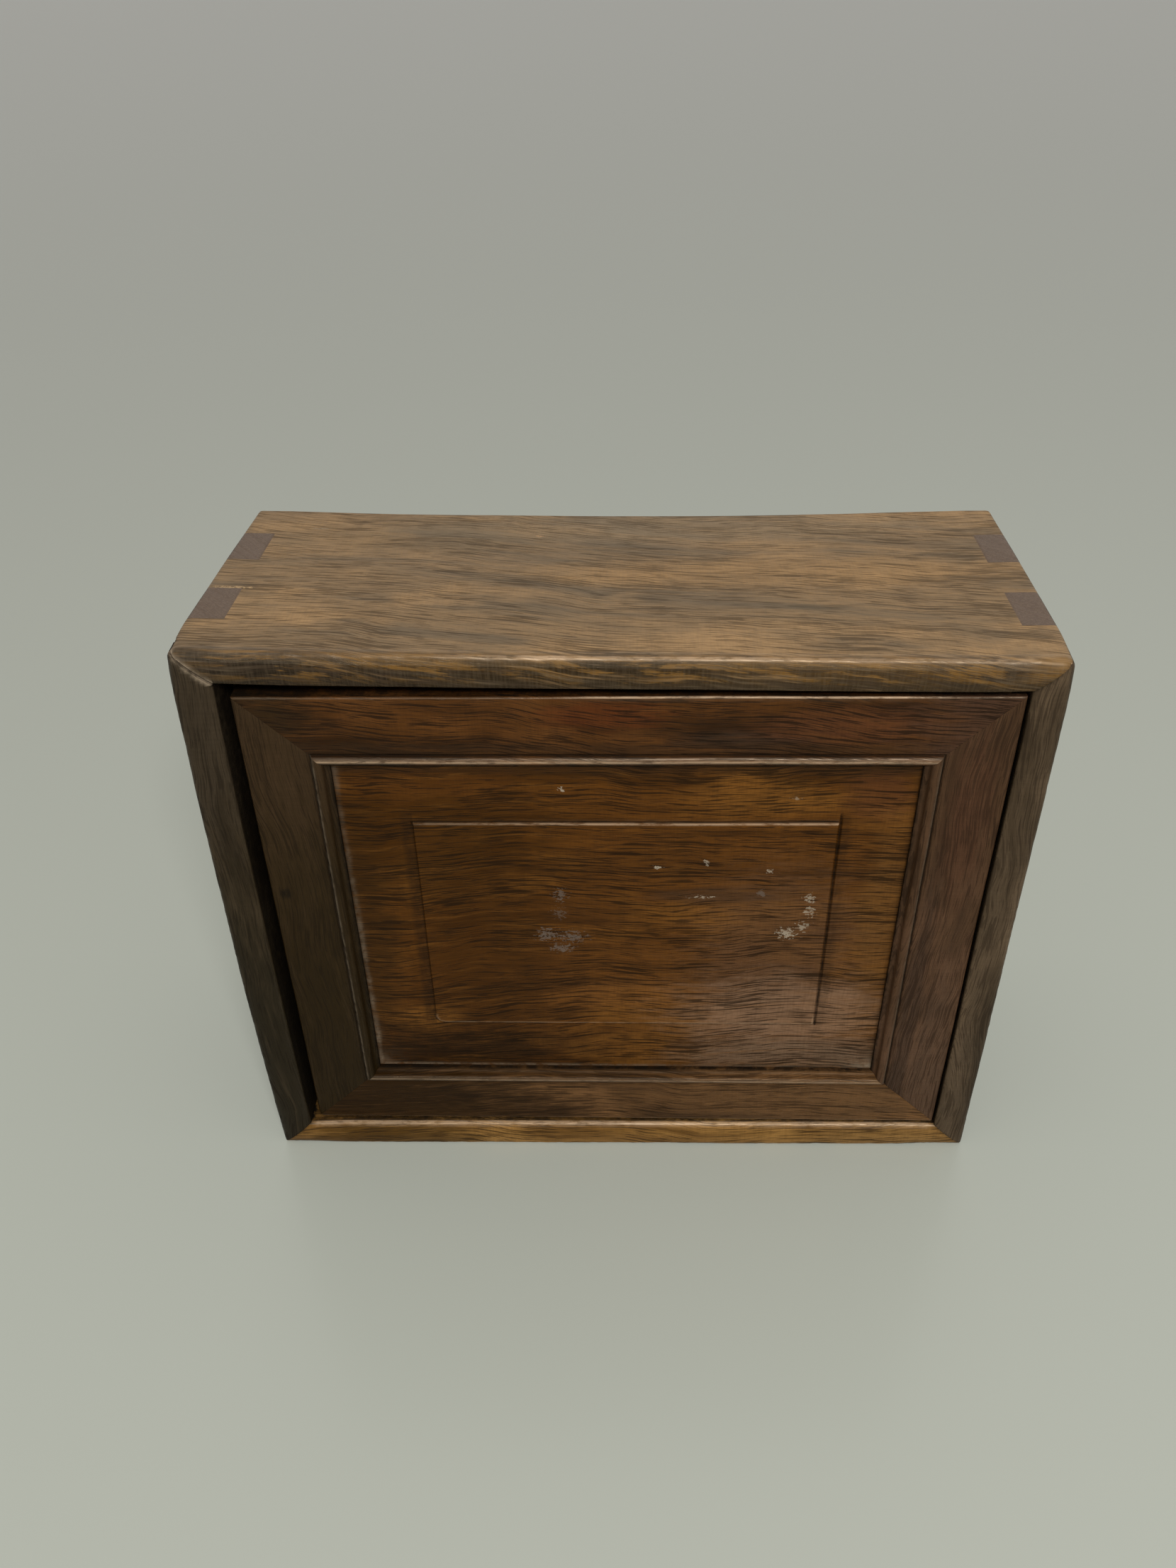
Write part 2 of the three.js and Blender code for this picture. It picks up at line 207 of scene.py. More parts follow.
def case_out_of_true(points):
    """The case's twist, sag, lean, bow and rack, as functions of the square place."""
    x, y, z = points.T
    back = (y - FRONT_Y) / CASE_DEPTH
    front = np.clip(1 - back, 0, 1)
    height = z / CASE_HEIGHT
    free = (HALF - x) / CASE_WIDTH
    rise = (RISE_FRONT + (RISE_BACK - RISE_FRONT) * back) * free
    sag = (SAG_FRONT + (SAG_BACK - SAG_FRONT) * back) * np.clip(1 - (x / HALF) ** 2, 0, 1)
    lean_left = LEAN_LEFT_LOW + (LEAN_LEFT_HIGH - LEAN_LEFT_LOW) * height
    lean_left = lean_left + BOW_LEFT * 4 * height * (1 - height)
    lean_right = LEAN_RIGHT_LOW + (LEAN_RIGHT_HIGH - LEAN_RIGHT_LOW) * height
    left = 0.45 * blend_step(-x, HALF - 3 * BOARD, INNER_X) + 0.55 * np.clip((-x - INNER_X) / BOARD, 0, 1)
    right = np.clip((x - INNER_X) / BOARD, 0, 1)
    moved_x = x + RACK * back - front * (left * lean_left + right * lean_right)
    moved_z = z + rise * height - sag * height ** 3
    return np.column_stack([moved_x, y, np.maximum(moved_z, 0)])


def lid_in_place(points):
    """Turns the square lid inwards about its pins, and lets its free end sag."""
    turned = np.array(points, float) - [PIN_X, PIN_Y, 0]
    cos, sin = math.cos(-SWING_IN), math.sin(-SWING_IN)
    x = turned[:, 0] * cos - turned[:, 1] * sin
    y = turned[:, 0] * sin + turned[:, 1] * cos
    z = turned[:, 2] + x * math.tan(LID_SAG)
    return np.column_stack([x + PIN_X, y + PIN_Y, z])


# How age has moved the pieces of each body
SETTLE = {"case": case_out_of_true, "lid": lid_in_place}


# Meshes

SHARP_ANGLE = math.radians(34)
WEAR_ROUNDS = 2


def convexity(mesh, places):
    """How far each vertex stands out from its neighbours: above 0 on edges, below 0 in corners."""
    edges = np.array([edge.vertices[:] for edge in mesh.edges])
    normals = np.array([vertex.normal for vertex in mesh.vertices])
    total = np.zeros(len(places))
    count = np.zeros(len(places))
    for a, b in (edges.T, edges.T[::-1]):
        reach = places[a] - places[b]
        length = np.maximum(np.linalg.norm(reach, axis=1), 1e-9)
        np.add.at(total, a, (normals[a] * reach).sum(1) / length)
        np.add.at(count, a, 1)
    value = total / np.maximum(count, 1)
    for _ in range(WEAR_ROUNDS):
        spread = np.zeros(len(places))
        np.add.at(spread, edges[:, 0], value[edges[:, 1]])
        np.add.at(spread, edges[:, 1], value[edges[:, 0]])
        value = (value + spread / np.maximum(count, 1)) / 2
    return value


def add_object(name, data):
    """A new object of the scene that shows a mesh, a camera or a light."""
    made = bpy.data.objects.new(name, data)
    bpy.context.scene.collection.objects.link(made)
    return made


def add_attribute(mesh, name, values):
    """One value or one place for each vertex, which the materials read by its name."""
    kind = "FLOAT_VECTOR" if np.ndim(values) == 2 else "FLOAT"
    attribute = mesh.attributes.new(name, kind, "POINT")
    field = "vector" if kind == "FLOAT_VECTOR" else "value"
    attribute.data.foreach_set(field, np.asarray(values, np.float32).ravel())


def smooth_mesh(name, places, faces):
    """A mesh between places in mm, shaded smooth except across its sharp edges."""
    mesh = bpy.data.meshes.new(name)
    mesh.from_pydata((places * MM).tolist(), [], faces)
    mesh.validate()
    shape = bmesh.new()
    shape.from_mesh(mesh)
    bmesh.ops.recalc_face_normals(shape, faces=shape.faces)
    shape.to_mesh(mesh)
    shape.free()
    for polygon in mesh.polygons:
        polygon.use_smooth = True
    mesh.set_sharp_from_angle(angle=SHARP_ANGLE)
    return mesh


def give_materials(mesh, materials, shine):
    """The first material everywhere, and the second, if there is one, on faces where shine is over a half."""
    for material in materials:
        mesh.materials.append(material)
    if len(materials) > 1:
        for polygon in mesh.polygons:
            polygon.material_index = int(all(shine[index] > 0.5 for index in polygon.vertices))


def make_piece(name, square, faces, grain, body, materials, masks=None):
    """A mesh piece that stands for the CAD node of its name. square holds its straight places in mm, and
    grain the same places as (along the grain, across it, through it). masks are further values at each
    place: raw, pale, grime (soiling and painted shade) and line (rubbed lines and painted highlights) for
    the materials, shine, which picks one of them, and exposed, which says how much an edge gets rubbed."""
    used = np.unique([index for face in faces for index in face])
    renumber = np.zeros(len(square), int)
    renumber[used] = np.arange(len(used))
    faces = [[int(renumber[index]) for index in face] for face in faces]
    values = {key: mask[used] for key, mask in (masks or {}).items()}
    shine = values.pop("shine", None)
    exposed = values.pop("exposed", 1)
    square = square[used]
    places = SETTLE[body](square + unevenness(square))
    mesh = smooth_mesh(name, places, faces)
    worn = convexity(mesh, places)
    values["worn"] = np.where(worn > 0, worn * exposed, worn)
    values["grain"] = grain[used]
    for key, value in values.items():
        add_attribute(mesh, key, value)
    give_materials(mesh, materials, shine)
    piece = add_object(name, mesh)
    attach(piece, body)
    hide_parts(name)


def grid_cells(rows, columns):
    """The four-sided cells of a grid with so many nodes each way."""
    return [[i * columns + k, i * columns + k + 1, (i + 1) * columns + k + 1, (i + 1) * columns + k]
            for i in range(rows - 1) for k in range(columns - 1)]


def prism_faces(cells, layer_count, filled):
    """Faces round the filled prisms of a flat net of cells that is repeated through the layers.
    filled[cell][layer] says which are solid. Vertex numbers run net by net."""
    net = 1 + max(max(cell) for cell in cells)
    empty = [False] * layer_count
    faces = []
    sides = {}
    for index, cell in enumerate(cells):
        row = filled[index]
        for level in range(layer_count + 1):
            before = level > 0 and row[level - 1]
            after = level < layer_count and row[level]
            if before != after:
                faces.append([level * net + node for node in cell])
        for a, b in zip(cell, cell[1:] + cell[:1]):
            sides.setdefault((min(a, b), max(a, b)), []).append(index)
    for (a, b), owners in sides.items():
        one = filled[owners[0]]
        other = filled[owners[1]] if len(owners) > 1 else empty
        for layer in range(layer_count):
            if one[layer] != other[layer]:
                low, high = layer * net, (layer + 1) * net
                faces.append([low + a, low + b, high + b, high + a])
    return faces


def loft_faces(rows, columns):
    """A closed tube of rows of columns, with a face over each end."""
    faces = []
    for row in range(rows - 1):
        for column in range(columns):
            after = (column + 1) % columns
            faces.append([row * columns + column, row * columns + after,
                          (row + 1) * columns + after, (row + 1) * columns + column])
    faces.append(list(range(columns)))
    faces.append([(rows - 1) * columns + column for column in range(columns)])
    return faces


# Case boards

NET_STEP = 1.25
FROM_EDGE = (0, 1, 0.3, 1, 0.65, 1, 1.1, 1, 2)
THROUGH = stations(*FROM_EDGE, NET_STEP, 5.25, 2, 6.5, 1.1, 9.7, 1, 10.15, 1, BOARD)

GROOVE_LOW = CASE_DEPTH - BACK_INSET - BACK_THICKNESS - GROOVE_FIT
GROOVE_HIGH = CASE_DEPTH - BACK_INSET + GROOVE_FIT
# Painted shade darkens the boards' inner faces up to the first depth and fades out by the second, where bare
# wood takes over
INSIDE_SHADE_DEPTH = 34
RAW_DEPTH = 52
# How far hands have polished the long boards, through the board and back from its front
TOP_POLISH = (3.2, 3.6)
BOTTOM_POLISH = (1.6, 1.2)


def depth_stations(tail_edges):
    """Depths from the front at which a board's net is repeated."""
    body = [value for mark in (*tail_edges, GROOVE_LOW, GROOVE_HIGH) for value in (3.6, mark)]
    return stations(*FROM_EDGE, 2, 3.4, 2.4, MITRE_DEPTH, *body, 2, CASE_DEPTH - 1.2, 0.4, CASE_DEPTH)


def board_net(half_length):
    """The flat net of a board in (along, through), with its corner squares cut along the mitre."""
    inner = half_length - BOARD
    corner = half_length - THROUGH[::-1]
    along = np.concatenate([-corner[::-1], stations(-inner, NET_STEP, inner)[1:-1], corner])
    count = len(THROUGH)
    cells = []
    for i in range(len(along) - 1):
        for k in range(count - 1):
            a, b = i * count + k, i * count + k + 1
            c, d = b + count, a + count
            middle = abs(along[i] + along[i + 1]) / 2
            on_mitre = middle > inner and abs(half_length - middle - (THROUGH[k] + THROUGH[k + 1]) / 2) < 1e-6
            if not on_mitre:
                cells.append([a, b, c, d])
            elif along[i] > 0:
                cells.extend([[a, b, d], [b, c, d]])
            else:
                cells.extend([[a, b, c], [a, c, d]])
    return along, cells


def tail_marks(fit):
    """Depths of the tails' edges at the outer face; fit widens the sockets."""
    return [STEP * index + fit * (-1) ** index for index in range(1, 2 * TAIL_COUNT + 1)]


def is_solid(upright, half_length, u, w, depth, in_tail):
    """Whether a board is solid at a place in its own (along, through, depth)."""
    inner = half_length - BOARD
    if GROOVE_LOW < depth < GROOVE_HIGH and w > BOARD - GROOVE_DEPTH and u < inner + GROOVE_DEPTH:
        return False
    if u < inner:
        return True
    if depth < MITRE_DEPTH:
        return w < half_length - u
    return in_tail == upright


def board_cells(upright, half_length, depths, marks):
    """A board's net, its faces, and the places of the net's nodes."""
    along, cells = board_net(half_length)
    count = len(THROUGH)
    middles = (depths[:-1] + depths[1:]) / 2
    in_tail = [any(a < depth < b for a, b in zip(marks[::2], marks[1::2])) for depth in middles]
    filled = []
    for cell in cells:
        u = float(np.mean([abs(along[node // count]) for node in cell]))
        w = float(np.mean([THROUGH[node % count] for node in cell]))
        filled.append([is_solid(upright, half_length, u, w, depth, tail)
                       for depth, tail in zip(middles, in_tail)])
    faces = prism_faces(cells, len(depths) - 1, filled)
    u, w = np.meshgrid(along, THROUGH, indexing="ij")
    u = np.tile(u.ravel(), len(depths))
    w = np.tile(w.ravel(), len(depths))
    v = np.repeat(depths, len(along) * count)
    return faces, u, v, w


def mitre_gap(upright, outer, sign):
    """Half the gap at each end's mitre. The joint at the top left has opened with age."""
    on_open_board = outer == LEFT if upright else outer == HIGH
    open_sign = HIGH if upright else LEFT
    return np.where(on_open_board & (sign == open_sign), MITRE_OPEN / 2, MITRE_FIT / 2)


def front_setback(w, end, outer_edge, inner_edge):
    """How far a board's front lies behind its crown. Near a mitre, all boards share one outline."""
    from_middle = 2 * w / BOARD - 1
    arch = np.abs(from_middle) ** PILLOW_POWER
    own = np.where(from_middle > 0, inner_edge, outer_edge) * arch
    return PILLOW * arch + (own - PILLOW * arch) * blend_step(end, BOARD - 2, BOARD + PILLOW_BLEND)


def chip_depth(u, seed, places):
    """How deep the front arris is worn at each place along it: fine wear, with a few real chips."""
    fine = np.abs(noise_at(np.column_stack([u, 0 * u, 0 * u + seed]), 3.1, 2))
    coarse = np.abs(noise_at(np.column_stack([u, 0 * u + 9, 0 * u + seed]), 14, 3))
    depth = 0.2 * fine + 0.2 * coarse
    for place, half_width, deep in places:
        depth = depth + deep * np.clip(1 - np.abs(u - place) / half_width, 0, 1)
    return depth


def round_outside(v, w, end, upright, at_top):
    """Rounds a board's outer edges. Near the upper corners of the case they are worn rounder."""
    sides = [end, w] if upright else [w, end]
    for index in (0, 1):
        growth = blend_step(-sides[1 - index], -CORNER_REACH, -1) * at_top
        radius = FRONT_ROUND + (FRONT_CORNER_ROUND - FRONT_ROUND) * growth
        v, sides[index] = round_corner(v, sides[index], radius)
        radius = BACK_ROUND + (BACK_CORNER_ROUND - BACK_ROUND) * growth
        back_v, sides[index] = round_corner(CASE_DEPTH - v, sides[index], radius)
        v = CASE_DEPTH - back_v
    end, w = sides if upright else sides[::-1]
    growth = blend_step(-v, -STEP, 0)
    radius = TOP_CORNER_ROUND + (TOP_FRONT_CORNER_ROUND - TOP_CORNER_ROUND) * growth
    end, w = round_corner(end, w, np.where(at_top, radius, CORNER_ROUND))
    return v, w, end


def board_masks(u, v, w, end, opening, kind):
    """Where a board's inside is bare, where edges get rubbed and polished, where the mitres are soiled, and
    where shade is painted on the inner faces near the front. On the top board the pale line along the front
    arris is partly rubbed wood and partly a painted highlight. kind is "top", "bottom" or "side"."""
    away = blend_step(end, BOARD + 0.5, BOARD + 2.5)
    front_tip = 0.35 * (v < MITRE_DEPTH - 1)
    long_corner = 0.5 * (w < 1) * (end < 1)
    inside = w > BOARD - 0.4
    exposed = np.maximum(away, np.maximum(front_tip, long_corner)) * np.where(inside & (v > 2), 0.2, 1)
    # Painted shade: the inner faces near the front, which show only in the dark gaps round the lid, are
    # darkened
    inside_shade = 0.8 * inside * (v > 1) * blend_step(v, RAW_DEPTH, INSIDE_SHADE_DEPTH)
    at_mitre = (v < MITRE_DEPTH + 0.01) * (end < BOARD + 0.01) * ridge(w, end, 0.5)
    wide_open = opening > MITRE_FIT
    line = np.zeros(len(v))
    shine = np.zeros(len(v))
    if kind == "top":
        shine = 1.0 * (w < TOP_POLISH[0]) * (v < TOP_POLISH[1])
        # Painted highlight, partly rubbed wood: a broken pale line along the top board's front arris,
        # brightest a little left of the middle
        polished = 0.06 + 0.34 * blend_step(u, -58, -36) + 0.5 * ridge(u, -20, 8) + 0.3 * ridge(u, 24, 20)
        line = polished * ridge(np.hypot(v, w), 0.4, 0.45) * away
    if kind == "bottom":
        shine = 1.0 * (w > BOARD - BOTTOM_POLISH[0]) * (v < BOTTOM_POLISH[1])
        line = 0.55 * ridge(np.hypot(v, BOARD - w), 0.4, 0.45) * away
    return {"shine": shine, "line": line, "exposed": exposed,
            "raw": blend_step(v, INSIDE_SHADE_DEPTH, RAW_DEPTH) * inside,
            "grime_and_shade": at_mitre * np.where(wide_open, 1, 0.45) + inside_shade,
            "pale": wide_open * (v < 3) * (end < BOARD) * ridge(w, end, 0.9)}


def board_places(upright, outer, u, v, w):
    """A board's own (along, depth, through) turned into places of the case."""
    if upright:
        return np.column_stack([outer * (HALF - w), FRONT_Y + v, u + CASE_HEIGHT / 2])
    return np.column_stack([u, FRONT_Y + v, w if outer == LOW else CASE_HEIGHT - w])


def case_board(name, upright, outer, edges, materials, seed, chips=()):
    """One board of the case. A level board ends in pins, an upright one in tails. outer says which side
    it is on, and edges are the setbacks of its front at the outer and inner edge."""
    half_length = CASE_HEIGHT / 2 if upright else HALF
    marks = tail_marks(0 if upright else TAIL_FIT)
    faces, u, v, w = board_cells(upright, half_length, depth_stations(marks), marks)
    sign = np.sign(u)
    end = half_length - np.abs(u)
    # The tails are narrower at their roots, so their edges lean.
    lean = np.interp(v, [MITRE_DEPTH, *marks, GROOVE_LOW], [0, *[TAIL_FLARE, -TAIL_FLARE] * TAIL_COUNT, 0])
    reach = np.clip(end / BOARD, 0, 1) * blend_step(-end, -3 * BOARD, -BOARD) if upright else w / BOARD
    v = v + lean * reach
    opening = mitre_gap(upright, outer, sign)
    kind = "side" if upright else "top" if outer == HIGH else "bottom"
    masks = board_masks(u, v, w, end, opening, kind)
    end = end + opening * (v < MITRE_DEPTH + 0.01) * (end < BOARD + 0.01)
    v, inner_w = round_corner(v, BOARD - w, LOW_INNER_ROUND if outer == LOW and not upright else INNER_ROUND)
    at_top = (sign > 0) if upright else np.full(len(u), outer == HIGH)
    v, w, end = round_outside(v, BOARD - inner_w, end, upright, at_top)
    nicks = chip_depth(u, seed, chips) * np.clip(1 - np.hypot(v, w) / 2.6, 0, 1) ** 1.5
    v = v + nicks
    w = w + nicks
    v = v + front_setback(w, end, *edges) * np.clip(1 - v / MITRE_DEPTH, 0, 1)
    square = board_places(upright, outer, sign * (half_length - end), v, w)
    grain = square[:, (2, 1, 0)] if upright else square
    make_piece(name, square, faces, grain, "case", materials, masks)


# Lid

QUIRK_END = FACE_WIDTH + QUIRK_WIDTH
BEAD_END = QUIRK_END + BEAD_WIDTH
SIGHT_LEFT = LID_LEFT + MEMBER
SIGHT_RIGHT = LID_RIGHT - MEMBER
SIGHT_LOW = LID_LOW + MEMBER
SIGHT_HIGH = LID_HIGH - MEMBER
SIGHT_MIDDLE = (SIGHT_LEFT + SIGHT_RIGHT) / 2
FIELD_LEFT = SIGHT_LEFT + FIELD_BORDER
FIELD_RIGHT = SIGHT_RIGHT - FIELD_BORDER
FIELD_LOW = SIGHT_LOW + FIELD_BORDER
FIELD_HIGH = SIGHT_HIGH - FIELD_BORDER
SCRIBE_OVERRUN = 3.4


def member_section():
    """A frame member's outline as (in from the outer edge, behind the face)."""
    points = []
    for i in range(5):
        angle = math.pi / 2 * i / 4
        points.append((LID_ROUND * (1 - math.cos(angle)), LID_ROUND * (1 - math.sin(angle))))
    points.extend((inwards, 0) for inwards in np.linspace(LID_ROUND, FACE_WIDTH - 0.3, 14)[1:])
    points.append((FACE_WIDTH, 0.12))
    points.append((FACE_WIDTH + QUIRK_WIDTH / 2, QUIRK_DEPTH))
    for i in range(9):
        angle = math.pi * i / 8
        across = QUIRK_END + BEAD_WIDTH * (1 - math.cos(angle)) / 2
        points.append((across, 0.15 - (BEAD_RISE + 0.15) * math.sin(angle)))
    for i in range(1, 6):
        angle = math.pi / 2 * i / 5
        depth = 0.15 + (COVE_DROP - 0.15) * math.sin(angle)
        points.append((BEAD_END + COVE_WIDTH * (1 - math.cos(angle)), depth))
    points += [(MEMBER, PANEL_BEHIND - 0.1), (MEMBER, LID_THICKNESS - 0.6), (MEMBER - 0.6, LID_THICKNESS),
               (MEMBER / 2, LID_THICKNESS), (0.8, LID_THICKNESS), (0, LID_THICKNESS - 0.8)]
    points.extend((0, depth) for depth in (LID_THICKNESS / 2, 3, 1.5, 0.9))
    return np.array(points)


def member_masks(inwards, behind, from_end, dust, line, edge_highlight):
    """Dirt and painted shade in the bead's two hollows, painted shade on the outer sides, painted highlights
    on the bead's crest and the outer arris, pale polish dust along the bead, and edges rubbed away from the
    mitres.
    """
    in_front = behind < PANEL_BEHIND
    dirt_and_shade = ridge(inwards, FACE_WIDTH + QUIRK_WIDTH / 2, 0.45) + ridge(inwards, MEMBER, 0.7)
    # Painted shade: the members' outer sides, which face into the dark gaps round the lid, are darkened
    side = 0.85 * (inwards < 0.3) * (behind > 0.7)
    on_bead = (inwards > QUIRK_END + 0.1) & (inwards < BEAD_END - 0.4) & (behind < 0.2)
    on_arris = np.hypot(inwards, behind) < LID_ROUND + 0.1
    # Painted highlights: pale lines along the bead's crest and the outer arris
    crest = ridge(np.hypot(inwards - QUIRK_END - 0.45 * BEAD_WIDTH, behind + BEAD_RISE), 0, 0.35)
    arris = ridge(np.hypot(inwards, behind), 0.25, 0.22)
    return {"shine": 1.0 * (on_bead | on_arris),
            "line": line * crest + edge_highlight * arris,
            "grime_and_shade": np.maximum(0.9 * dirt_and_shade * in_front, side),
            "pale": in_front * dust * ridge(inwards, QUIRK_END + 0.15, 0.35),
            "exposed": 0.5 * blend_step(from_end, 0.5, 3)}


def lid_member(name, upright, outer, materials, dust=0.0, line=0.0, line_ends=1.0):
    """A rail (level) or stile (upright) of the lid, mitred at both ends. line paints highlights on the bead's
    crest and the outer edge; line_ends is the share of the outer edge's painted highlight that is left away
    from its brightest part."""
    section = member_section()
    length = (LID_HIGH - LID_LOW) if upright else (LID_RIGHT - LID_LEFT)
    shares = stations(0, 1, 0.35, 1, 1.2, 1.4, length - 1.2, 1, length - 0.35, 1, length) / length
    rows = len(shares)
    inwards = np.tile(section[:, 0], rows)
    behind = np.tile(section[:, 1], rows)
    share = np.repeat(shares, len(section))
    start = inwards + FRAME_FIT / 2
    along = start + share * (length - 2 * start)
    from_end = np.minimum(along - start, length - start - along)
    # Painted highlight: the outer edge's pale line is brightest round the middle given above
    rubbed = blend_step(np.abs(along - HIGHLIGHT_MIDDLE), HIGHLIGHT_REACH + 10, HIGHLIGHT_REACH - 10)
    edge_highlight = line * (line_ends + (1 - line_ends) * rubbed)
    masks = member_masks(inwards, behind, from_end, dust, line, edge_highlight)
    behind = behind + 0.06 * np.clip(1 - from_end / 0.35, 0, 1) * (behind < PANEL_BEHIND)
    in_x, in_z = (inwards, along) if upright else (along, inwards)
    if (upright and outer == LEFT) or (not upright and outer == LOW):
        in_x, in_z = round_corner(in_x, in_z, LID_CORNER_ROUND)
    x = LID_RIGHT - in_x if upright and outer == RIGHT else LID_LEFT + in_x
    z = LID_HIGH - in_z if not upright and outer == HIGH else LID_LOW + in_z
    square = np.column_stack([x, LID_FRONT + behind, z])
    faces = loft_faces(rows, len(section))
    grain = square[:, (2, 0, 1) if upright else (0, 2, 1)]
    make_piece(name, square, faces, grain, "lid", materials, masks)


def grid_slab(xs, zs, front, back):
    """A closed slab over a grid, with its front and back depths given at each place."""
    cells = grid_cells(len(xs), len(zs))
    faces = prism_faces(cells, 1, [[True]] * len(cells))
    x, z = (places.ravel() for places in np.meshgrid(xs, zs, indexing="ij"))
    return np.concatenate([np.column_stack([x, depth(x, z), z]) for depth in (front, back)]), faces


def inside_sight(x, z):
    """Distance in from the frame's inner edge, below 0 under the frame."""
    return np.minimum(np.minimum(x - SIGHT_LEFT, SIGHT_RIGHT - x), np.minimum(z - SIGHT_LOW, SIGHT_HIGH - z))


def inside_field(x, z):
    """Distance in from the field's edge, below 0 outside it. Its lower left corner is worn round."""
    in_x = np.minimum(x - FIELD_LEFT, FIELD_RIGHT - x)
    in_z = np.minimum(z - FIELD_LOW, FIELD_HIGH - z)
    a, b = x - FIELD_LEFT, z - FIELD_LOW
    cornered = FIELD_CORNER_ROUND - np.hypot(FIELD_CORNER_ROUND - a, FIELD_CORNER_ROUND - b)
    in_corner = (a < FIELD_CORNER_ROUND) & (b < FIELD_CORNER_ROUND)
    return np.where(in_corner, cornered, np.minimum(in_x, in_z))


def panel_front(x, z):
    """The panel's face: a border, a scribed line, and the field that stands a little proud of it."""
    inside = inside_field(x, z)
    rise = FIELD_RISE * blend_step(inside, -0.1, 0.5)
    scribe = 0.5 * ridge(inside, -0.3, 0.26) * np.where(z > FIELD_HIGH - 1, 1, 0.35)
    past_top = (z > FIELD_LOW) & (z < FIELD_HIGH + SCRIBE_OVERRUN)
    groove = 0.6 * ridge(x, FIELD_RIGHT + 0.5, 0.35) * past_top
    return LID_FRONT + PANEL_BEHIND - rise + np.maximum(scribe, groove)


def panel_back(x, z):
    """The panel's back, thick in the middle and thinned round its edges to fit the frame."""
    inside = inside_sight(x, z)
    swell = PANEL_SWELL * blend_step(inside, PANEL_MARGIN, PANEL_MARGIN + 1.5)
    return LID_FRONT + PANEL_BEHIND + TONGUE + swell


def panel_masks(square):
    """Dirt and painted shade round the field, painted highlights on its lips, and polish dust in the panel's
    left and bottom hollows.
    """
    x, y, z = square.T
    inside = inside_field(x, z)
    along_field = (x > FIELD_LEFT) & (x < FIELD_RIGHT)
    beside = (z > FIELD_LOW - 1) & (z < FIELD_HIGH + SCRIBE_OVERRUN)
    near_low = z < FIELD_LOW + 4
    dirt_and_shade = np.maximum.reduce([
        0.45 * blend_step(x, FIELD_LEFT - 4.4, FIELD_LEFT - 2.4) * (x < FIELD_LEFT + 0.2) * beside,
        0.35 * blend_step(-x, -FIELD_RIGHT - 5, -FIELD_RIGHT - 2) * (x > FIELD_RIGHT) * beside,
        0.95 * ridge(x, FIELD_RIGHT + 0.5, 0.4) * beside,
        0.95 * ridge(z, FIELD_HIGH + 0.3, 0.26) * along_field,
        # Painted shade below the field's lower edge, whose step faces downwards
        ridge(inside, -0.35, 0.34) * near_low * (x < FIELD_RIGHT),
        0.5 * ridge(inside_sight(x, z), 0, 1.1),
        0.35 * blend_step(-z, -FIELD_LOW - 0.5, -FIELD_LOW + 1.5) * blend_step(-x, -40, 30)])
    # Painted highlights: pale lines on the field's top lips and just inside its lower edge
    top_lip_highlight = 0.7 * ridge(z, FIELD_HIGH - 0.2, 0.17) + 0.25 * ridge(z, FIELD_HIGH + 0.85, 0.17)
    top_lip_highlight = top_lip_highlight * along_field * (0.4 + 0.6 * blend_step(x, FIELD_LEFT, 0))
    low_lip_highlight = 0.4 * ridge(inside, 0.35, 0.3) * near_low
    down = blend_step(-z, -SIGHT_HIGH, -SIGHT_LOW)
    lumps = 1 + 0.9 * noise_at(square, 5, 7)
    dust = np.maximum.reduce([
        (0.16 + 0.22 * down) * ridge(x, SIGHT_LEFT + 0.7, 0.5 + 0.4 * lumps) * lumps,
        0.4 * ridge(z, SIGHT_LOW + 0.5, 0.6) * (0.4 + 0.6 * blend_step(-x, -60, 40)),
        0.5 * np.exp(-np.hypot(x - SIGHT_LEFT, z - SIGHT_LOW) / 3.2),
        1.2 * np.exp(-np.hypot((SIGHT_RIGHT - x) / 2.2, z - SIGHT_LOW) / 2.4)])
    on_front = y < LID_FRONT + PANEL_BEHIND + 1
    return {"grime_and_shade": dirt_and_shade * on_front, "pale": dust * on_front, "exposed": np.full(len(square), 0.5),
            "line": np.maximum(top_lip_highlight, low_lip_highlight) * on_front, "raw": np.where(on_front, 0.0, 1.0)}


def panel_stations(low, high):
    """Places across the panel between the frame's inner edges, and under the frame beyond them."""
    edge = TONGUE_LENGTH - REST_GAP
    field_edge = (-1.6, 0.5, -0.6, 0.2, 0.6, 0.5, 1.6)
    at_low, at_high = (tuple(value if index % 2 else field + value for index, value in enumerate(field_edge))
                       for field in (low + FIELD_BORDER, high - FIELD_BORDER))
    return stations(low - edge, 1.6, low, 0.6, low + 2.4, 1.4, *at_low, 1.5, *at_high, 1.4, high - 2.4, 0.6,
                    high, 1.6, high + edge)


def lid_panel(materials):
    """The fielded panel with its thin edges inside the frame's grooves."""
    xs = panel_stations(SIGHT_LEFT, SIGHT_RIGHT)
    zs = panel_stations(SIGHT_LOW, SIGHT_HIGH)
    square, faces = grid_slab(xs, zs, panel_front, panel_back)
    make_piece("lid_panel", square, faces, square[:, (0, 2, 1)], "lid", materials,
               panel_masks(square))


# Plain inner pieces

BAR_EDGE = 0.8
BAR_ROUND = 0.5
PIN_SIDES = 24
PIN_TIP = [(0, 0.7), (0.25, 0.92), (0.6, 1)]


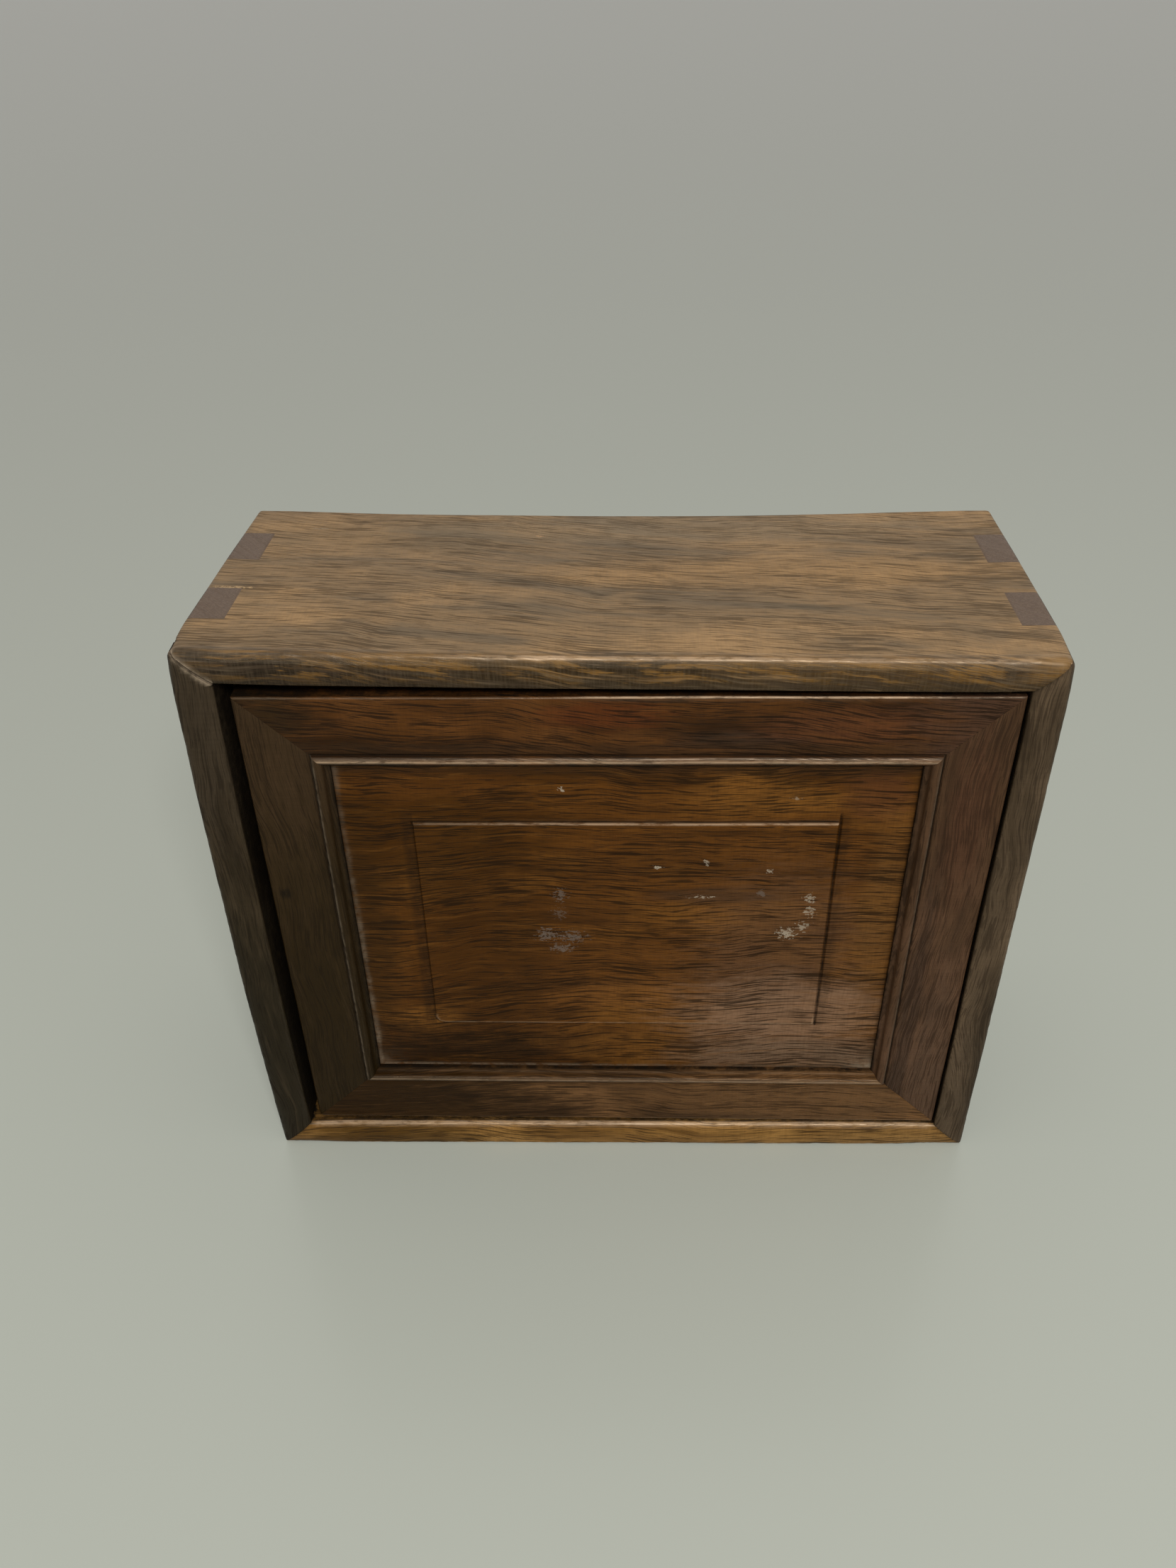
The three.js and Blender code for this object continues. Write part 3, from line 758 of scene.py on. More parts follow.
def soft_bar(name, low, high, upright, body, materials, step=6):
    """A planed bar or board with softened edges, between two corners."""
    low, high = np.array(low, float), np.array(high, float)
    nets = [stations(a, BAR_EDGE / 2, a + BAR_EDGE, step, b - BAR_EDGE, BAR_EDGE / 2, b)
            for a, b in zip(low, high)]
    cells = grid_cells(len(nets[0]), len(nets[2]))
    layers = len(nets[1]) - 1
    faces = prism_faces(cells, layers, [[True] * layers] * len(cells))
    x, z = np.meshgrid(nets[0], nets[2], indexing="ij")
    place = [np.tile(x.ravel(), layers + 1), np.repeat(nets[1], x.size), np.tile(z.ravel(), layers + 1)]
    corners = {LOW: low, HIGH: high}
    for a, b in ((0, 1), (1, 2), (0, 2)):
        for side_a in (LOW, HIGH):
            for side_b in (LOW, HIGH):
                corner_a, corner_b = corners[side_a][a], corners[side_b][b]
                in_a, in_b = round_corner(side_a * (corner_a - place[a]), side_b * (corner_b - place[b]),
                                          BAR_ROUND)
                place[a] = corner_a - side_a * in_a
                place[b] = corner_b - side_b * in_b
    square = np.column_stack(place)
    grain = square[:, (2, 1, 0) if upright else (0, 1, 2)]
    make_piece(name, square, faces, grain, body, materials)


def pivot_pin(name, low, high, materials):
    """A turned pin with softened ends, between two heights."""
    length = high - low
    outline = PIN_TIP + [(height, 1) for height in np.linspace(2, length - 2, 8)]
    outline += [(length - height, share) for height, share in PIN_TIP[::-1]]
    turns = [2 * math.pi * i / PIN_SIDES for i in range(PIN_SIDES)]
    ring = PIN_RADIUS * np.array([(math.cos(turn), math.sin(turn)) for turn in turns])
    square = np.array([(PIN_X + share * x, PIN_Y + share * y, low + height)
                       for height, share in outline for x, y in ring])
    faces = loft_faces(len(outline), PIN_SIDES)
    make_piece(name, square, faces, square[:, (2, 0, 1)], "lid", materials)


# Materials

class Graph:
    """A material's node graph, with a short call for each kind of node that is used."""

    def __init__(self, name):
        self.material = bpy.data.materials.new(name)
        self.material.use_nodes = True
        self.tree = self.material.node_tree
        self.shader = self.tree.nodes["Principled BSDF"]

    def node(self, kind, *values, **settings):
        """A new node with these settings, and with values or links for its first sockets."""
        made = self.tree.nodes.new(kind)
        for key, value in settings.items():
            setattr(made, key, value)
        for socket, value in zip(made.inputs, values):
            self.give(socket, value)
        return made

    def give(self, socket, value):
        """Links a socket to another node's output, or sets its value."""
        if isinstance(value, bpy.types.NodeSocket):
            self.tree.links.new(value, socket)
        else:
            socket.default_value = value

    def attribute(self, name, field="Fac"):
        """A value that the mesh has at each vertex."""
        return self.node("ShaderNodeAttribute", attribute_name=name).outputs[field]

    def math(self, operation, a, b=0.0):
        """A step of arithmetic on two values."""
        return self.node("ShaderNodeMath", a, b, operation=operation).outputs[0]

    def sum(self, first, *others):
        """All of the values added up."""
        for other in others:
            first = self.math("ADD", first, other)
        return first

    def times(self, first, *others):
        """All of the values multiplied."""
        for other in others:
            first = self.math("MULTIPLY", first, other)
        return first

    def vector(self, operation, a, b=(0, 0, 0)):
        """A step of arithmetic on two vectors."""
        made = self.node("ShaderNodeVectorMath", a, b, operation=operation)
        return made.outputs["Value" if operation in ("LENGTH", "DOT_PRODUCT") else "Vector"]

    def place(self, source, scale, shift=(0, 0, 0)):
        """A place stretched by scale and then shifted."""
        return self.vector("ADD", self.vector("MULTIPLY", source, scale), shift)

    def noise(self, place, detail, roughness):
        """Smooth noise from 0 to 1, with lumps about 1 across."""
        made = self.node("ShaderNodeTexNoise", place)
        made.inputs["Scale"].default_value = 1
        made.inputs["Detail"].default_value = detail
        made.inputs["Roughness"].default_value = roughness
        return made.outputs["Fac"]

    def span(self, value, low, high, to_low=0.0, to_high=1.0):
        """A soft change from to_low to to_high while value goes from low to high."""
        return self.node("ShaderNodeMapRange", value, low, high, to_low, to_high,
                         interpolation_type="SMOOTHSTEP").outputs[0]

    def mix(self, share, a, b):
        """Tone a, with a share of tone b over it."""
        made = self.node("ShaderNodeMix", share, data_type="RGBA")
        self.give(made.inputs[6], a)
        self.give(made.inputs[7], b)
        return made.outputs[2]


def colour(red, green, blue):
    """A colour as it looks on screen, 0 to 255, turned into the linear values that shaders take."""
    def linear(value):
        value = value / 255
        return value / 12.92 if value <= 0.04045 else ((value + 0.055) / 1.055) ** 2.4
    return (linear(red), linear(green), linear(blue), 1)


# Near-black: dirt, and painted shade in gaps, recesses and hollows
DIRT_AND_SHADE = colour(13, 9, 6)
DUST = colour(136, 120, 100)
# Pale lines: rubbed wood, and painted highlights on arrises, bead crests and the field's lips
RUBBED_AND_HIGHLIGHT_LINE = colour(190, 160, 128)
BARE_DARK, BARE_LIGHT, BARE_PORE = colour(92, 66, 42), colour(128, 96, 64), colour(50, 34, 22)
BUMP_DEPTH = 0.12
SPECULAR_LEVEL = 0.11
SPECULAR_TINT = (1, 0.8, 0.58, 1)
POLISH = {"specular": 0.6, "gloss": 0.36}


class Wood(Graph):
    """Old waxed hardwood, painted coat by coat. Its noise fields, in mm, lie along the grain, which sways."""

    def __init__(self, name, seed, slant):
        super().__init__(name)
        self.where = self.attribute("grain", "Vector")
        shifted = self.vector("ADD", self.where, (seed * 61.0, seed * 37.0, seed * 23.0))
        sway = self.field(shifted, 0.011, 0.008, (0, 0, 0), 1, 0.5)
        ripple = self.field(shifted, 0.035, 0.03, (4, 8, 1), 1, 0.5)
        leaning = self.vector("DOT_PRODUCT", self.where, (slant, 0, 0))
        bend = self.sum(self.times(sway, 22), self.times(ripple, 5), leaning)
        sideways = self.sum(self.vector("DOT_PRODUCT", shifted, (0, 1, 1)), bend)
        swayed = self.vector("ADD", self.vector("MULTIPLY", shifted, (1, 0, 0)),
                             self.vector("MULTIPLY", (0, 1, 0), sideways))
        crowd = self.field(swayed, 0.02, 0.1, (6, 6, 2), 2, 0.5)
        crowded = self.times(self.math("SUBTRACT", crowd, 0.5), 0.35)
        long_dash = self.sum(self.field(swayed, 0.05, 1.4, (8, 3, 2), 2, 0.5), crowded)
        short_dash = self.sum(self.field(swayed, 0.12, 2.7, (2, 7, 5), 1, 0.5), crowded)
        self.dashes = self.math("MAXIMUM", self.span(long_dash, 0.565, 0.61),
                                self.span(short_dash, 0.58, 0.63, 0.0, 0.85))
        self.figure = self.field(swayed, 0.007, 0.1, (0, 0, 0), 4, 0.6)
        self.cloud = self.field(shifted, 0.02, 0.045, (3, 1, 7), 3, 0.55)
        self.streaks = self.field(swayed, 0.026, 0.45, (5, 2, 1), 4, 0.65)
        self.stain = self.field(swayed, 0.06, 0.4, (2, 5, 8), 4, 0.65)
        self.fibre = self.field(swayed, 0.12, 4.2, (1, 9, 4), 2, 0.5)
        self.rays = self.field(shifted, 1.5, 0.14, (9, 4, 4), 2, 0.5)
        self.planing = self.field(shifted, 0.05, 0.11, (2, 6, 3), 2, 0.5)
        self.rub = self.field(shifted, 0.25, 0.9, (0, 0, 0), 3, 0.6)
        self.settled = self.field(self.where, 0.28, 0.28, (7, 3, 1), 4, 0.65)

    def field(self, source, along, across, shift, detail, roughness):
        """Noise with its own coarseness along and across the grain."""
        return self.noise(self.place(source, (along, across, across), shift), detail, roughness)

    def coat(self, share, tone):
        """Covers a share of what is there with a further tone."""
        self.tone = self.mix(share, self.tone, tone)

    def patch_mask(self, middle, radii, strength):
        """strength in the middle of an elliptical patch and 0 outside it, with a ragged edge."""
        reach = self.vector("SUBTRACT", self.where, middle)
        reach = self.vector("MULTIPLY", reach, tuple(1 / radius for radius in radii))
        ragged = self.noise(self.place(self.where, (0.1, 0.55, 0.55), middle), 3, 0.6)
        distance = self.sum(self.vector("LENGTH", reach), self.times(ragged, 1.1))
        return self.times(self.span(distance, 0.9, 1.7, 1.0, 0.0), strength)

    def scuff_mask(self, middle, radii, strength):
        """A small broken patch where the finish has been lost."""
        reach = self.vector("SUBTRACT", self.where, (*middle, 0))
        reach = self.vector("MULTIPLY", reach, (1 / radii[0], 1 / radii[1], 0))
        broken = self.noise(self.place(self.where, (0.7, 1.0, 0.7), (*middle, 0)), 5, 0.75)
        distance = self.sum(self.vector("LENGTH", reach), self.times(broken, 5))
        return self.times(self.span(distance, 2.85, 3.0, 1.0, 0.0), strength)

    def paint_grain(self, dark, middle, light, pore, dashes, contrast, clouds, patches, stains):
        """The wood's own tones, its patches and stains, and over them the fine lines of the grain. Some
        patches are painted sheen and painted shade.
        """
        self.tone = self.mix(self.span(self.figure, 0.34, 0.58), dark, middle)
        self.coat(self.span(self.cloud, 0.46, 0.68, 0.0, clouds), light)
        for place, radii, tone, strength in patches:
            self.coat(self.patch_mask(place, radii, strength), colour(*tone))
        for place, radii, tone, strength in stains:
            broken = self.span(self.stain, 0.42, 0.52, 0.0, strength)
            self.coat(self.patch_mask(place, radii, broken), colour(*tone))
        self.coat(self.span(self.streaks, 0.5, 0.72, 0.0, 0.42 * contrast), dark)
        self.coat(self.span(self.streaks, 0.3, 0.48, 0.4 * contrast, 0.0), light)
        self.coat(self.span(self.rays, 0.35, 0.7, 0.0, 0.16 * contrast), dark)
        self.coat(self.span(self.fibre, 0.3, 0.7, 0.34, 0.0), pore)
        self.coat(self.times(self.dashes, dashes), pore)

    def paint_wear(self, worn_tone, wear, gloss):
        """Rubbed edges and darkened concave corners. Dirt and painted shade, dust, and pale lines that are
        partly painted highlights, with the roughness that goes with them.
        """
        worn = self.attribute("worn")
        rubbed = self.times(self.span(worn, 0.06, 0.26), self.span(self.rub, 0.38, 0.62), wear)
        ragged = self.span(self.settled, 0.3, 0.62, 0.35, 1.0)
        # Concave corners are darkened; the grime mask adds dirt and painted shade
        grime_and_shade = self.math("MAXIMUM", self.span(worn, -0.18, -0.03, 0.8, 0.0),
                          self.times(self.attribute("grime_and_shade"), ragged))
        dust = self.times(self.attribute("pale"), self.span(self.settled, 0.3, 0.62, 0.2, 1.0))
        line = self.times(self.attribute("line"), self.span(self.rub, 0.3, 0.56, 0.25, 1.0))
        for share, tone in ((rubbed, worn_tone), (grime_and_shade, DIRT_AND_SHADE), (dust, DUST), (line, RUBBED_AND_HIGHLIGHT_LINE)):
            self.coat(share, tone)
        self.roughness = self.sum(gloss, self.times(self.math("SUBTRACT", self.cloud, 0.5), 0.2),
                                  self.times(self.dashes, 0.2), self.times(grime_and_shade, 0.3),
                                  self.times(dust, 0.2), self.span(worn, 0.03, 0.16, 0.0, -0.16))

    def paint_scuffs(self, scuffs):
        """Small places without a finish, paler or greyer and more matt than the rest."""
        for place, radii, tone, strength in scuffs:
            mask = self.scuff_mask(place, radii, strength)
            self.coat(mask, colour(*tone))
            self.roughness = self.sum(self.roughness, self.times(mask, 0.3))

    def paint_bare(self):
        """Wood without a finish, where the mask raw says so."""
        bare = self.attribute("raw")
        tone = self.mix(self.span(self.figure, 0.3, 0.7), BARE_DARK, BARE_LIGHT)
        self.coat(bare, self.mix(self.times(self.dashes, 0.5), tone, BARE_PORE))
        self.roughness = self.sum(self.roughness, self.times(bare, 0.35))

    def paint_ends(self, dark, light, axis):
        """End grain on the faces that look along an axis."""
        normal = self.node("ShaderNodeNewGeometry").outputs["True Normal"]
        facing = self.span(self.math("ABSOLUTE", self.vector("DOT_PRODUCT", normal, axis)), 0.75, 0.95)
        speck = self.noise(self.place(self.where, (0.5, 2.2, 2.2)), 3, 0.7)
        self.coat(facing, self.mix(self.span(speck, 0.35, 0.7), colour(*dark), colour(*light)))

    def finish(self, specular):
        """Gives the shader the tone and the roughness, and a relief from the fibres, pores and planing."""
        height = self.sum(self.times(self.fibre, 0.35), self.times(self.dashes, -0.8),
                          self.times(self.planing, 1.4))
        bump = self.node("ShaderNodeBump")
        inputs = self.shader.inputs
        for socket, value in ((bump.inputs["Strength"], 0.55), (bump.inputs["Distance"], BUMP_DEPTH * MM),
                              (bump.inputs["Height"], height), (inputs["Base Color"], self.tone),
                              (inputs["Roughness"], self.roughness), (inputs["Normal"], bump.outputs[0]),
                              (inputs["IOR"], 1.5), (inputs["Specular IOR Level"], specular),
                              (inputs["Specular Tint"], SPECULAR_TINT)):
            self.give(socket, value)
        return self.material


def wood(name, tones, seed, slant=0.0, dashes=0.8, contrast=1.0, clouds=1.0, gloss=0.38,
         specular=SPECULAR_LEVEL, wear=1.0, patches=(), stains=(), scuffs=(), ends=None, end_axis=(0, 0, 1)):
    """The one material of a wood. tones are dark, middle, light, pore and worn. Patches, stains and scuffs
    are (place, radii, tone, strength), with places along, across and through the grain; stains are broken
    up. Some patches are painted light: sheen on the panel and shade on the top board's front edge. ends are
    the two tones of end grain, which shows where the wood looks along end_axis."""
    *grain_tones, worn_tone = (colour(*tone) for tone in tones)
    made = Wood(name, seed, slant)
    made.paint_grain(*grain_tones, dashes, contrast, clouds, patches, stains)
    made.paint_wear(worn_tone, wear, gloss)
    made.paint_scuffs(scuffs)
    made.paint_bare()
    if ends:
        made.paint_ends(*ends, end_axis)
    return (made.finish(specular),)


def polished_wood(name, tones, seed, **more):
    """The wood, and the same wood where hands have polished its edges."""
    return wood(name, tones, seed, **more) + wood(name + "_polished", tones, seed, **more | POLISH)


def dark_metal(name):
    """Old, tarnished metal for the pivot pins."""
    graph = Graph(name)
    where = graph.attribute("grain", "Vector")
    tarnish = graph.noise(graph.place(where, (0.3, 0.6, 0.6)), 4, 0.6)
    tone = graph.mix(graph.span(tarnish, 0.35, 0.65), colour(44, 34, 24), colour(92, 72, 46))
    graph.give(graph.shader.inputs["Base Color"], tone)
    graph.give(graph.shader.inputs["Roughness"], graph.span(tarnish, 0.3, 0.7, 0.65, 0.4))
    graph.shader.inputs["Metallic"].default_value = 1
    return (graph.material,)


# Tones of each wood as they look on screen: dark, middle, light, pores, worn
TOP_TONES = (117, 100, 78), (149, 121, 87), (174, 139, 97), (60, 48, 36), (176, 144, 104)
BOTTOM_TONES = (84, 56, 22), (134, 97, 49), (156, 116, 62), (44, 29, 12), (190, 160, 124)
LEFT_TONES = (38, 30, 19), (52, 42, 28), (64, 53, 38), (20, 15, 9), (92, 76, 56)
RIGHT_TONES = (54, 43, 30), (78, 64, 48), (96, 79, 60), (30, 22, 15), (116, 98, 76)
TOP_RAIL_TONES = (46, 26, 9), (78, 46, 17), (100, 62, 28), (24, 14, 7), (130, 100, 70)
LOW_RAIL_TONES = (46, 28, 11), (88, 60, 32), (112, 79, 47), (26, 16, 8), (130, 100, 70)
LEFT_STILE_TONES = (38, 27, 12), (48, 35, 18), (56, 42, 25), (20, 14, 7), (76, 62, 44)
RIGHT_STILE_TONES = (52, 35, 22), (76, 54, 36), (92, 66, 47), (30, 19, 12), (108, 86, 66)
PANEL_TONES = (57, 31, 4), (93, 55, 15), (116, 74, 27), (24, 13, 4), (126, 90, 54)
INNER_TONES = (84, 60, 38), (112, 82, 54), (134, 102, 70), (50, 34, 22), (150, 118, 84)
# Near-black ledge tones: painted shade, for ledges seen only through the dark gaps round the lid
LEDGE_SHADE_TONES = (20, 14, 9), (28, 20, 13), (38, 27, 18), (14, 10, 7), (46, 34, 24)
TAIL_ENDS = (98, 83, 72), (116, 99, 85)
PIN_ENDS = (44, 33, 22), (66, 50, 34)
WHITE_FLECK = (168, 156, 136)
GREY_SCUFF = (94, 82, 72)
FAR = 1000


def on_face(depth, reach, *patches):
    """Patches of a face at one depth, from (along, across, reach along, reach across, tone, strength)."""
    return [((along, across, depth), (reach_along, reach_across, reach), tone, strength)
            for along, across, reach_along, reach_across, tone, strength in patches]


def on_front_edge(*patches):
    """Patches of a case board's front edge, from (along, height, radii, tone, strength)."""
    return [((along, FRONT_Y, height), radii, tone, strength)
            for along, height, radii, tone, strength in patches]


TOP_PATCHES_AND_SHADE = on_front_edge(
    (0, CASE_HEIGHT - 5, (FAR, 3.2, FAR), (116, 82, 34), 0.95),
    (-30, CASE_HEIGHT - 5, (26, 4, 5), (84, 60, 28), 0.7),
    # Painted shade, partly stain: the lower half of the front edge, which turns downwards, is darkened
    (0, CASE_HEIGHT - 11, (FAR, 5, 5.2), (38, 28, 14), 0.95),
) + on_face(
    CASE_HEIGHT, 8,
    (100, -1, 22, 3.4, (88, 76, 60), 0.8),
    (58, -19, 14, 2, (92, 80, 62), 0.7),
    (-70, 32, 60, 16, (112, 96, 72), 0.4),
    (20, 40, 110, 14, (150, 130, 102), 0.5),
    (50, 4, 90, 14, (170, 133, 88), 0.65),
) + on_front_edge(
    (-122, CASE_HEIGHT - 5, (15, 6, 16), (56, 46, 32), 0.8),
)
TOP_STAINS = on_front_edge(
    (-108, CASE_HEIGHT - 8, (50, 6, 14), (22, 18, 13), 1.0),
    (-60, CASE_HEIGHT - 9, (56, 6, 9), (26, 19, 11), 1.0),
    (-4, CASE_HEIGHT - 7, (60, 6, 12), (38, 28, 14), 1.0),
    (60, CASE_HEIGHT - 8, (50, 6, 9), (50, 37, 20), 0.9),
    (102, CASE_HEIGHT - 3, (20, 6, 7), (38, 32, 26), 0.9),
)
BOTTOM_PATCHES = on_front_edge(
    (-84, 5, (40, 8, 16), (66, 44, 10), 0.85),
    (98, 5, (34, 8, 16), (140, 106, 60), 0.6),
)
LEFT_PATCHES = on_face(
    -HALF, 30,
    (30, FRONT_Y, 110, 30, (30, 25, 14), 0.95),
    (190, FRONT_Y, 60, 30, (64, 54, 42), 0.7),
)
TOP_RAIL_PATCHES = on_face(
    LID_FRONT, FAR,
    (-107, LID_HIGH - 7, 18, 18, (46, 32, 16), 0.85),
    (-6, LID_HIGH - 6, 24, 6, (90, 42, 17), 0.6),
    (-60, LID_HIGH - 11, 22, 6, (96, 58, 22), 0.5),
    (34, LID_HIGH - 15, 24, 4, (56, 42, 32), 0.7),
    (66, LID_HIGH - 10, 34, 8, (98, 58, 34), 0.6),
    (0, LID_HIGH - 18, FAR, 3, (48, 33, 20), 0.6),
    (112, LID_HIGH - 10, 34, 34, (74, 51, 37), 0.95),
)
LOW_RAIL_PATCHES = on_face(
    LID_FRONT, FAR,
    (-92, LID_LOW + 10, 70, 40, (41, 24, 4), 1.0),
    (74, LID_LOW + 10, 56, 34, (112, 80, 48), 0.5),
)
RIGHT_STILE_PATCHES = on_face(
    LID_FRONT, FAR,
    (60, LID_RIGHT - 16, 90, 4, (50, 36, 27), 0.7),
    (150, LID_RIGHT - 10, 40, 8, (82, 52, 36), 0.5),
    (40, LID_RIGHT - 6, 60, 8, (90, 68, 52), 0.5),
)
LEFT_STILE_PATCHES = on_face(
    LID_FRONT, FAR,
    (121, -108, 2.6, 2.2, (16, 11, 8), 0.9),
    (40, -100, 90, 40, (36, 25, 7), 0.95),
    (186, -100, 50, 30, (62, 46, 30), 0.8),
)
PANEL_PATCHES_AND_SHEEN = on_face(
    LID_FRONT, FAR,
    (-58, 140, 44, 34, (56, 30, 1), 0.8),
    (-46, 90, 34, 50, (54, 28, 1), 0.7),
    (-84, 100, 12, 60, (48, 29, 6), 0.7),
    (-60, 44, 56, 11, (42, 22, 3), 0.9),
    (-62, 163, 34, 9, (88, 51, 15), 0.6),
    (10, 74, 40, 9, (118, 75, 32), 0.65),
    # Painted sheen: the pale, greyish patches over the right and lower right of the panel stand for the
    # reflection of the light
    (52, 96, 34, 40, (96, 68, 46), 0.6),
    (56, 64, 46, 22, (134, 104, 80), 0.8),
    (60, 43, 50, 11, (114, 90, 69), 0.85),
    (78, 158, 14, 12, (86, 50, 30), 0.5),
    (84, 110, 10, 44, (112, 76, 36), 0.6),
    (30, 118, 26, 4, (62, 44, 30), 0.6),
    (0, 168, FAR, 3, (44, 28, 14), 0.6),
)
PANEL_SCUFFS = [
    ((-18.6, 160.2), (1.4, 1.2), WHITE_FLECK, 0.75),
    ((-19.8, 118.8), (3.4, 3.8), GREY_SCUFF, 0.7),
    ((-20.5, 111), (3, 3.4), GREY_SCUFF, 0.45),
    ((-25, 101.5), (4.4, 4), GREY_SCUFF, 0.85),
    ((-16.5, 100.5), (7, 3.4), GREY_SCUFF, 0.8),
    ((-20, 95.5), (5, 3.2), GREY_SCUFF, 0.8),
    ((11.1, 130.5), (1.9, 0.9), WHITE_FLECK, 0.75),
    ((26.4, 132.3), (1.2, 1.6), WHITE_FLECK, 0.5),
    ((46.6, 128.7), (1.6, 1.2), WHITE_FLECK, 0.5),
    ((25.5, 118.2), (6, 0.9), WHITE_FLECK, 0.55),
    ((44.5, 119.6), (2.4, 2.2), GREY_SCUFF, 0.7),
    ((59.8, 117.6), (2.4, 2.6), WHITE_FLECK, 0.5),
    ((60.3, 111.9), (2.2, 3), WHITE_FLECK, 0.55),
    ((53.5, 102.5), (4, 3.2), WHITE_FLECK, 0.65),
    ((58.6, 105.5), (3, 2.8), WHITE_FLECK, 0.5),
    ((52.8, 156.8), (3, 0.6), WHITE_FLECK, 0.35),
]
TOP_SCUFFS = [
    ((-100, 36), (3.6, 0.9), WHITE_FLECK, 0.35),
    ((-27, 33), (2.4, 1), (190, 150, 110), 0.7),
    ((-118, -9.9), (9, 1.3), (186, 156, 116), 0.85),
]

case_top_wood = polished_wood("case_top_wood", TOP_TONES, 1, slant=0.13, dashes=0.62, wear=0.7,
                              patches=TOP_PATCHES_AND_SHADE, stains=TOP_STAINS, scuffs=TOP_SCUFFS,
                              ends=PIN_ENDS, end_axis=(1, 0, 0))
case_bottom_wood = polished_wood("case_bottom_wood", BOTTOM_TONES, 2, patches=BOTTOM_PATCHES,
                                 ends=PIN_ENDS, end_axis=(1, 0, 0))
case_left_wood = wood("case_left_wood", LEFT_TONES, 3, dashes=0.5, patches=LEFT_PATCHES, ends=TAIL_ENDS)
case_right_wood = wood("case_right_wood", RIGHT_TONES, 4, dashes=0.5, ends=TAIL_ENDS)
top_rail_wood = polished_wood("top_rail_wood", TOP_RAIL_TONES, 5, slant=0.12, patches=TOP_RAIL_PATCHES)
low_rail_wood = polished_wood("low_rail_wood", LOW_RAIL_TONES, 9, dashes=0.7, contrast=0.7,
                              patches=LOW_RAIL_PATCHES)
left_stile_wood = wood("left_stile_wood", LEFT_STILE_TONES, 6, dashes=0.5, clouds=0.3,
                       patches=LEFT_STILE_PATCHES)
right_stile_wood = wood("right_stile_wood", RIGHT_STILE_TONES, 10, dashes=0.5, patches=RIGHT_STILE_PATCHES)
panel_wood = wood("panel_wood", PANEL_TONES, 7, patches=PANEL_PATCHES_AND_SHEEN, scuffs=PANEL_SCUFFS)
inner_wood = wood("inner_wood", INNER_TONES, 8, dashes=0.55, gloss=0.7)
# Painted shade: the ledges behind the lid are made near-black, as the gaps they show through are dark
ledge_shade_wood = wood("ledge_shade_wood", LEDGE_SHADE_TONES, 11, gloss=0.7)
pin_metal = dark_metal("pin_metal")

# The object
TOP_CHIPS = [(-89.5, 2, 0.3), (-78, 3, 0.4), (-61, 2, 0.3), (-37, 5, 0.35), (-30, 2, 0.3), (-23, 3, 0.35),
             (106, 4, 0.4), (111.5, 3, 0.4)]
case_board("case_top_board", False, HIGH, (0.7, 0.8), case_top_wood, 1, TOP_CHIPS)
case_board("case_bottom_board", False, LOW, (0.5, 1.8), case_bottom_wood, 2)
case_board("case_left_board", True, LEFT, (1.0, 0.7), case_left_wood, 3)
case_board("case_right_board", True, RIGHT, (1.0, 0.7), case_right_wood, 4)

back_reach = GROOVE_DEPTH - REST_GAP
soft_bar("case_back_panel",
         (-INNER_X - back_reach, BACK_Y - BACK_INSET - BACK_THICKNESS, INNER_LOW - back_reach),
         (INNER_X + back_reach, BACK_Y - BACK_INSET, INNER_HIGH + back_reach), False, "case", inner_wood, 4)

ledge_front = PIN_Y + (PIN_X - LID_LEFT) * math.sin(SWING_IN) + (LID_BACK - PIN_Y) + REST_GAP
ledge_back = ledge_front + LEDGE_THICKNESS
ledge_inner = -INNER_X + REST_GAP + LEDGE_WIDTH
ledge_end = PIN_X - math.hypot(PIN_FROM_EDGE, LID_BACK - PIN_Y) - LEDGE_SWEEP_ROOM
soft_bar("lid_ledge_left", (-INNER_X + REST_GAP, ledge_front, INNER_LOW + REST_GAP),
         (ledge_inner, ledge_back, INNER_HIGH - REST_GAP), True, "case", ledge_shade_wood)
for ledge_name, ledge_low in (("lid_ledge_top", INNER_HIGH - REST_GAP - LEDGE_WIDTH),
                              ("lid_ledge_bottom", INNER_LOW + REST_GAP)):
    soft_bar(ledge_name, (ledge_inner + REST_GAP, ledge_front, ledge_low),
             (ledge_end, ledge_back, ledge_low + LEDGE_WIDTH), False, "case", ledge_shade_wood)

# line paints highlights along the rails' bead crests, and on the top rail along its outer edge
lid_member("lid_top_rail", False, HIGH, top_rail_wood, line=0.7, line_ends=0.05)
lid_member("lid_bottom_rail", False, LOW, low_rail_wood, line=0.35)
lid_member("lid_left_stile", True, LEFT, left_stile_wood, dust=0.7)
lid_member("lid_right_stile", True, RIGHT, right_stile_wood, dust=0.3)
lid_panel(panel_wood)
batten_front = LID_FRONT + PANEL_BEHIND + TONGUE + PANEL_SWELL - BATTEN_LET_IN
batten_back = batten_front + BATTEN_LET_IN + BATTEN_STAND
soft_bar("lid_panel_batten", (SIGHT_MIDDLE - BATTEN_WIDTH / 2, batten_front, SIGHT_LOW + REST_GAP),
         (SIGHT_MIDDLE + BATTEN_WIDTH / 2, batten_back, SIGHT_HIGH - REST_GAP), True, "lid", inner_wood)
pivot_pin("pivot_pin_upper", LID_HIGH - PIN_IN_LID, INNER_HIGH + PIN_IN_BOARD, pin_metal)
pivot_pin("pivot_pin_lower", INNER_LOW - PIN_IN_BOARD, LID_LOW + PIN_IN_LID, pin_metal)


# Camera: the photograph's place and angle, in the frame of the part

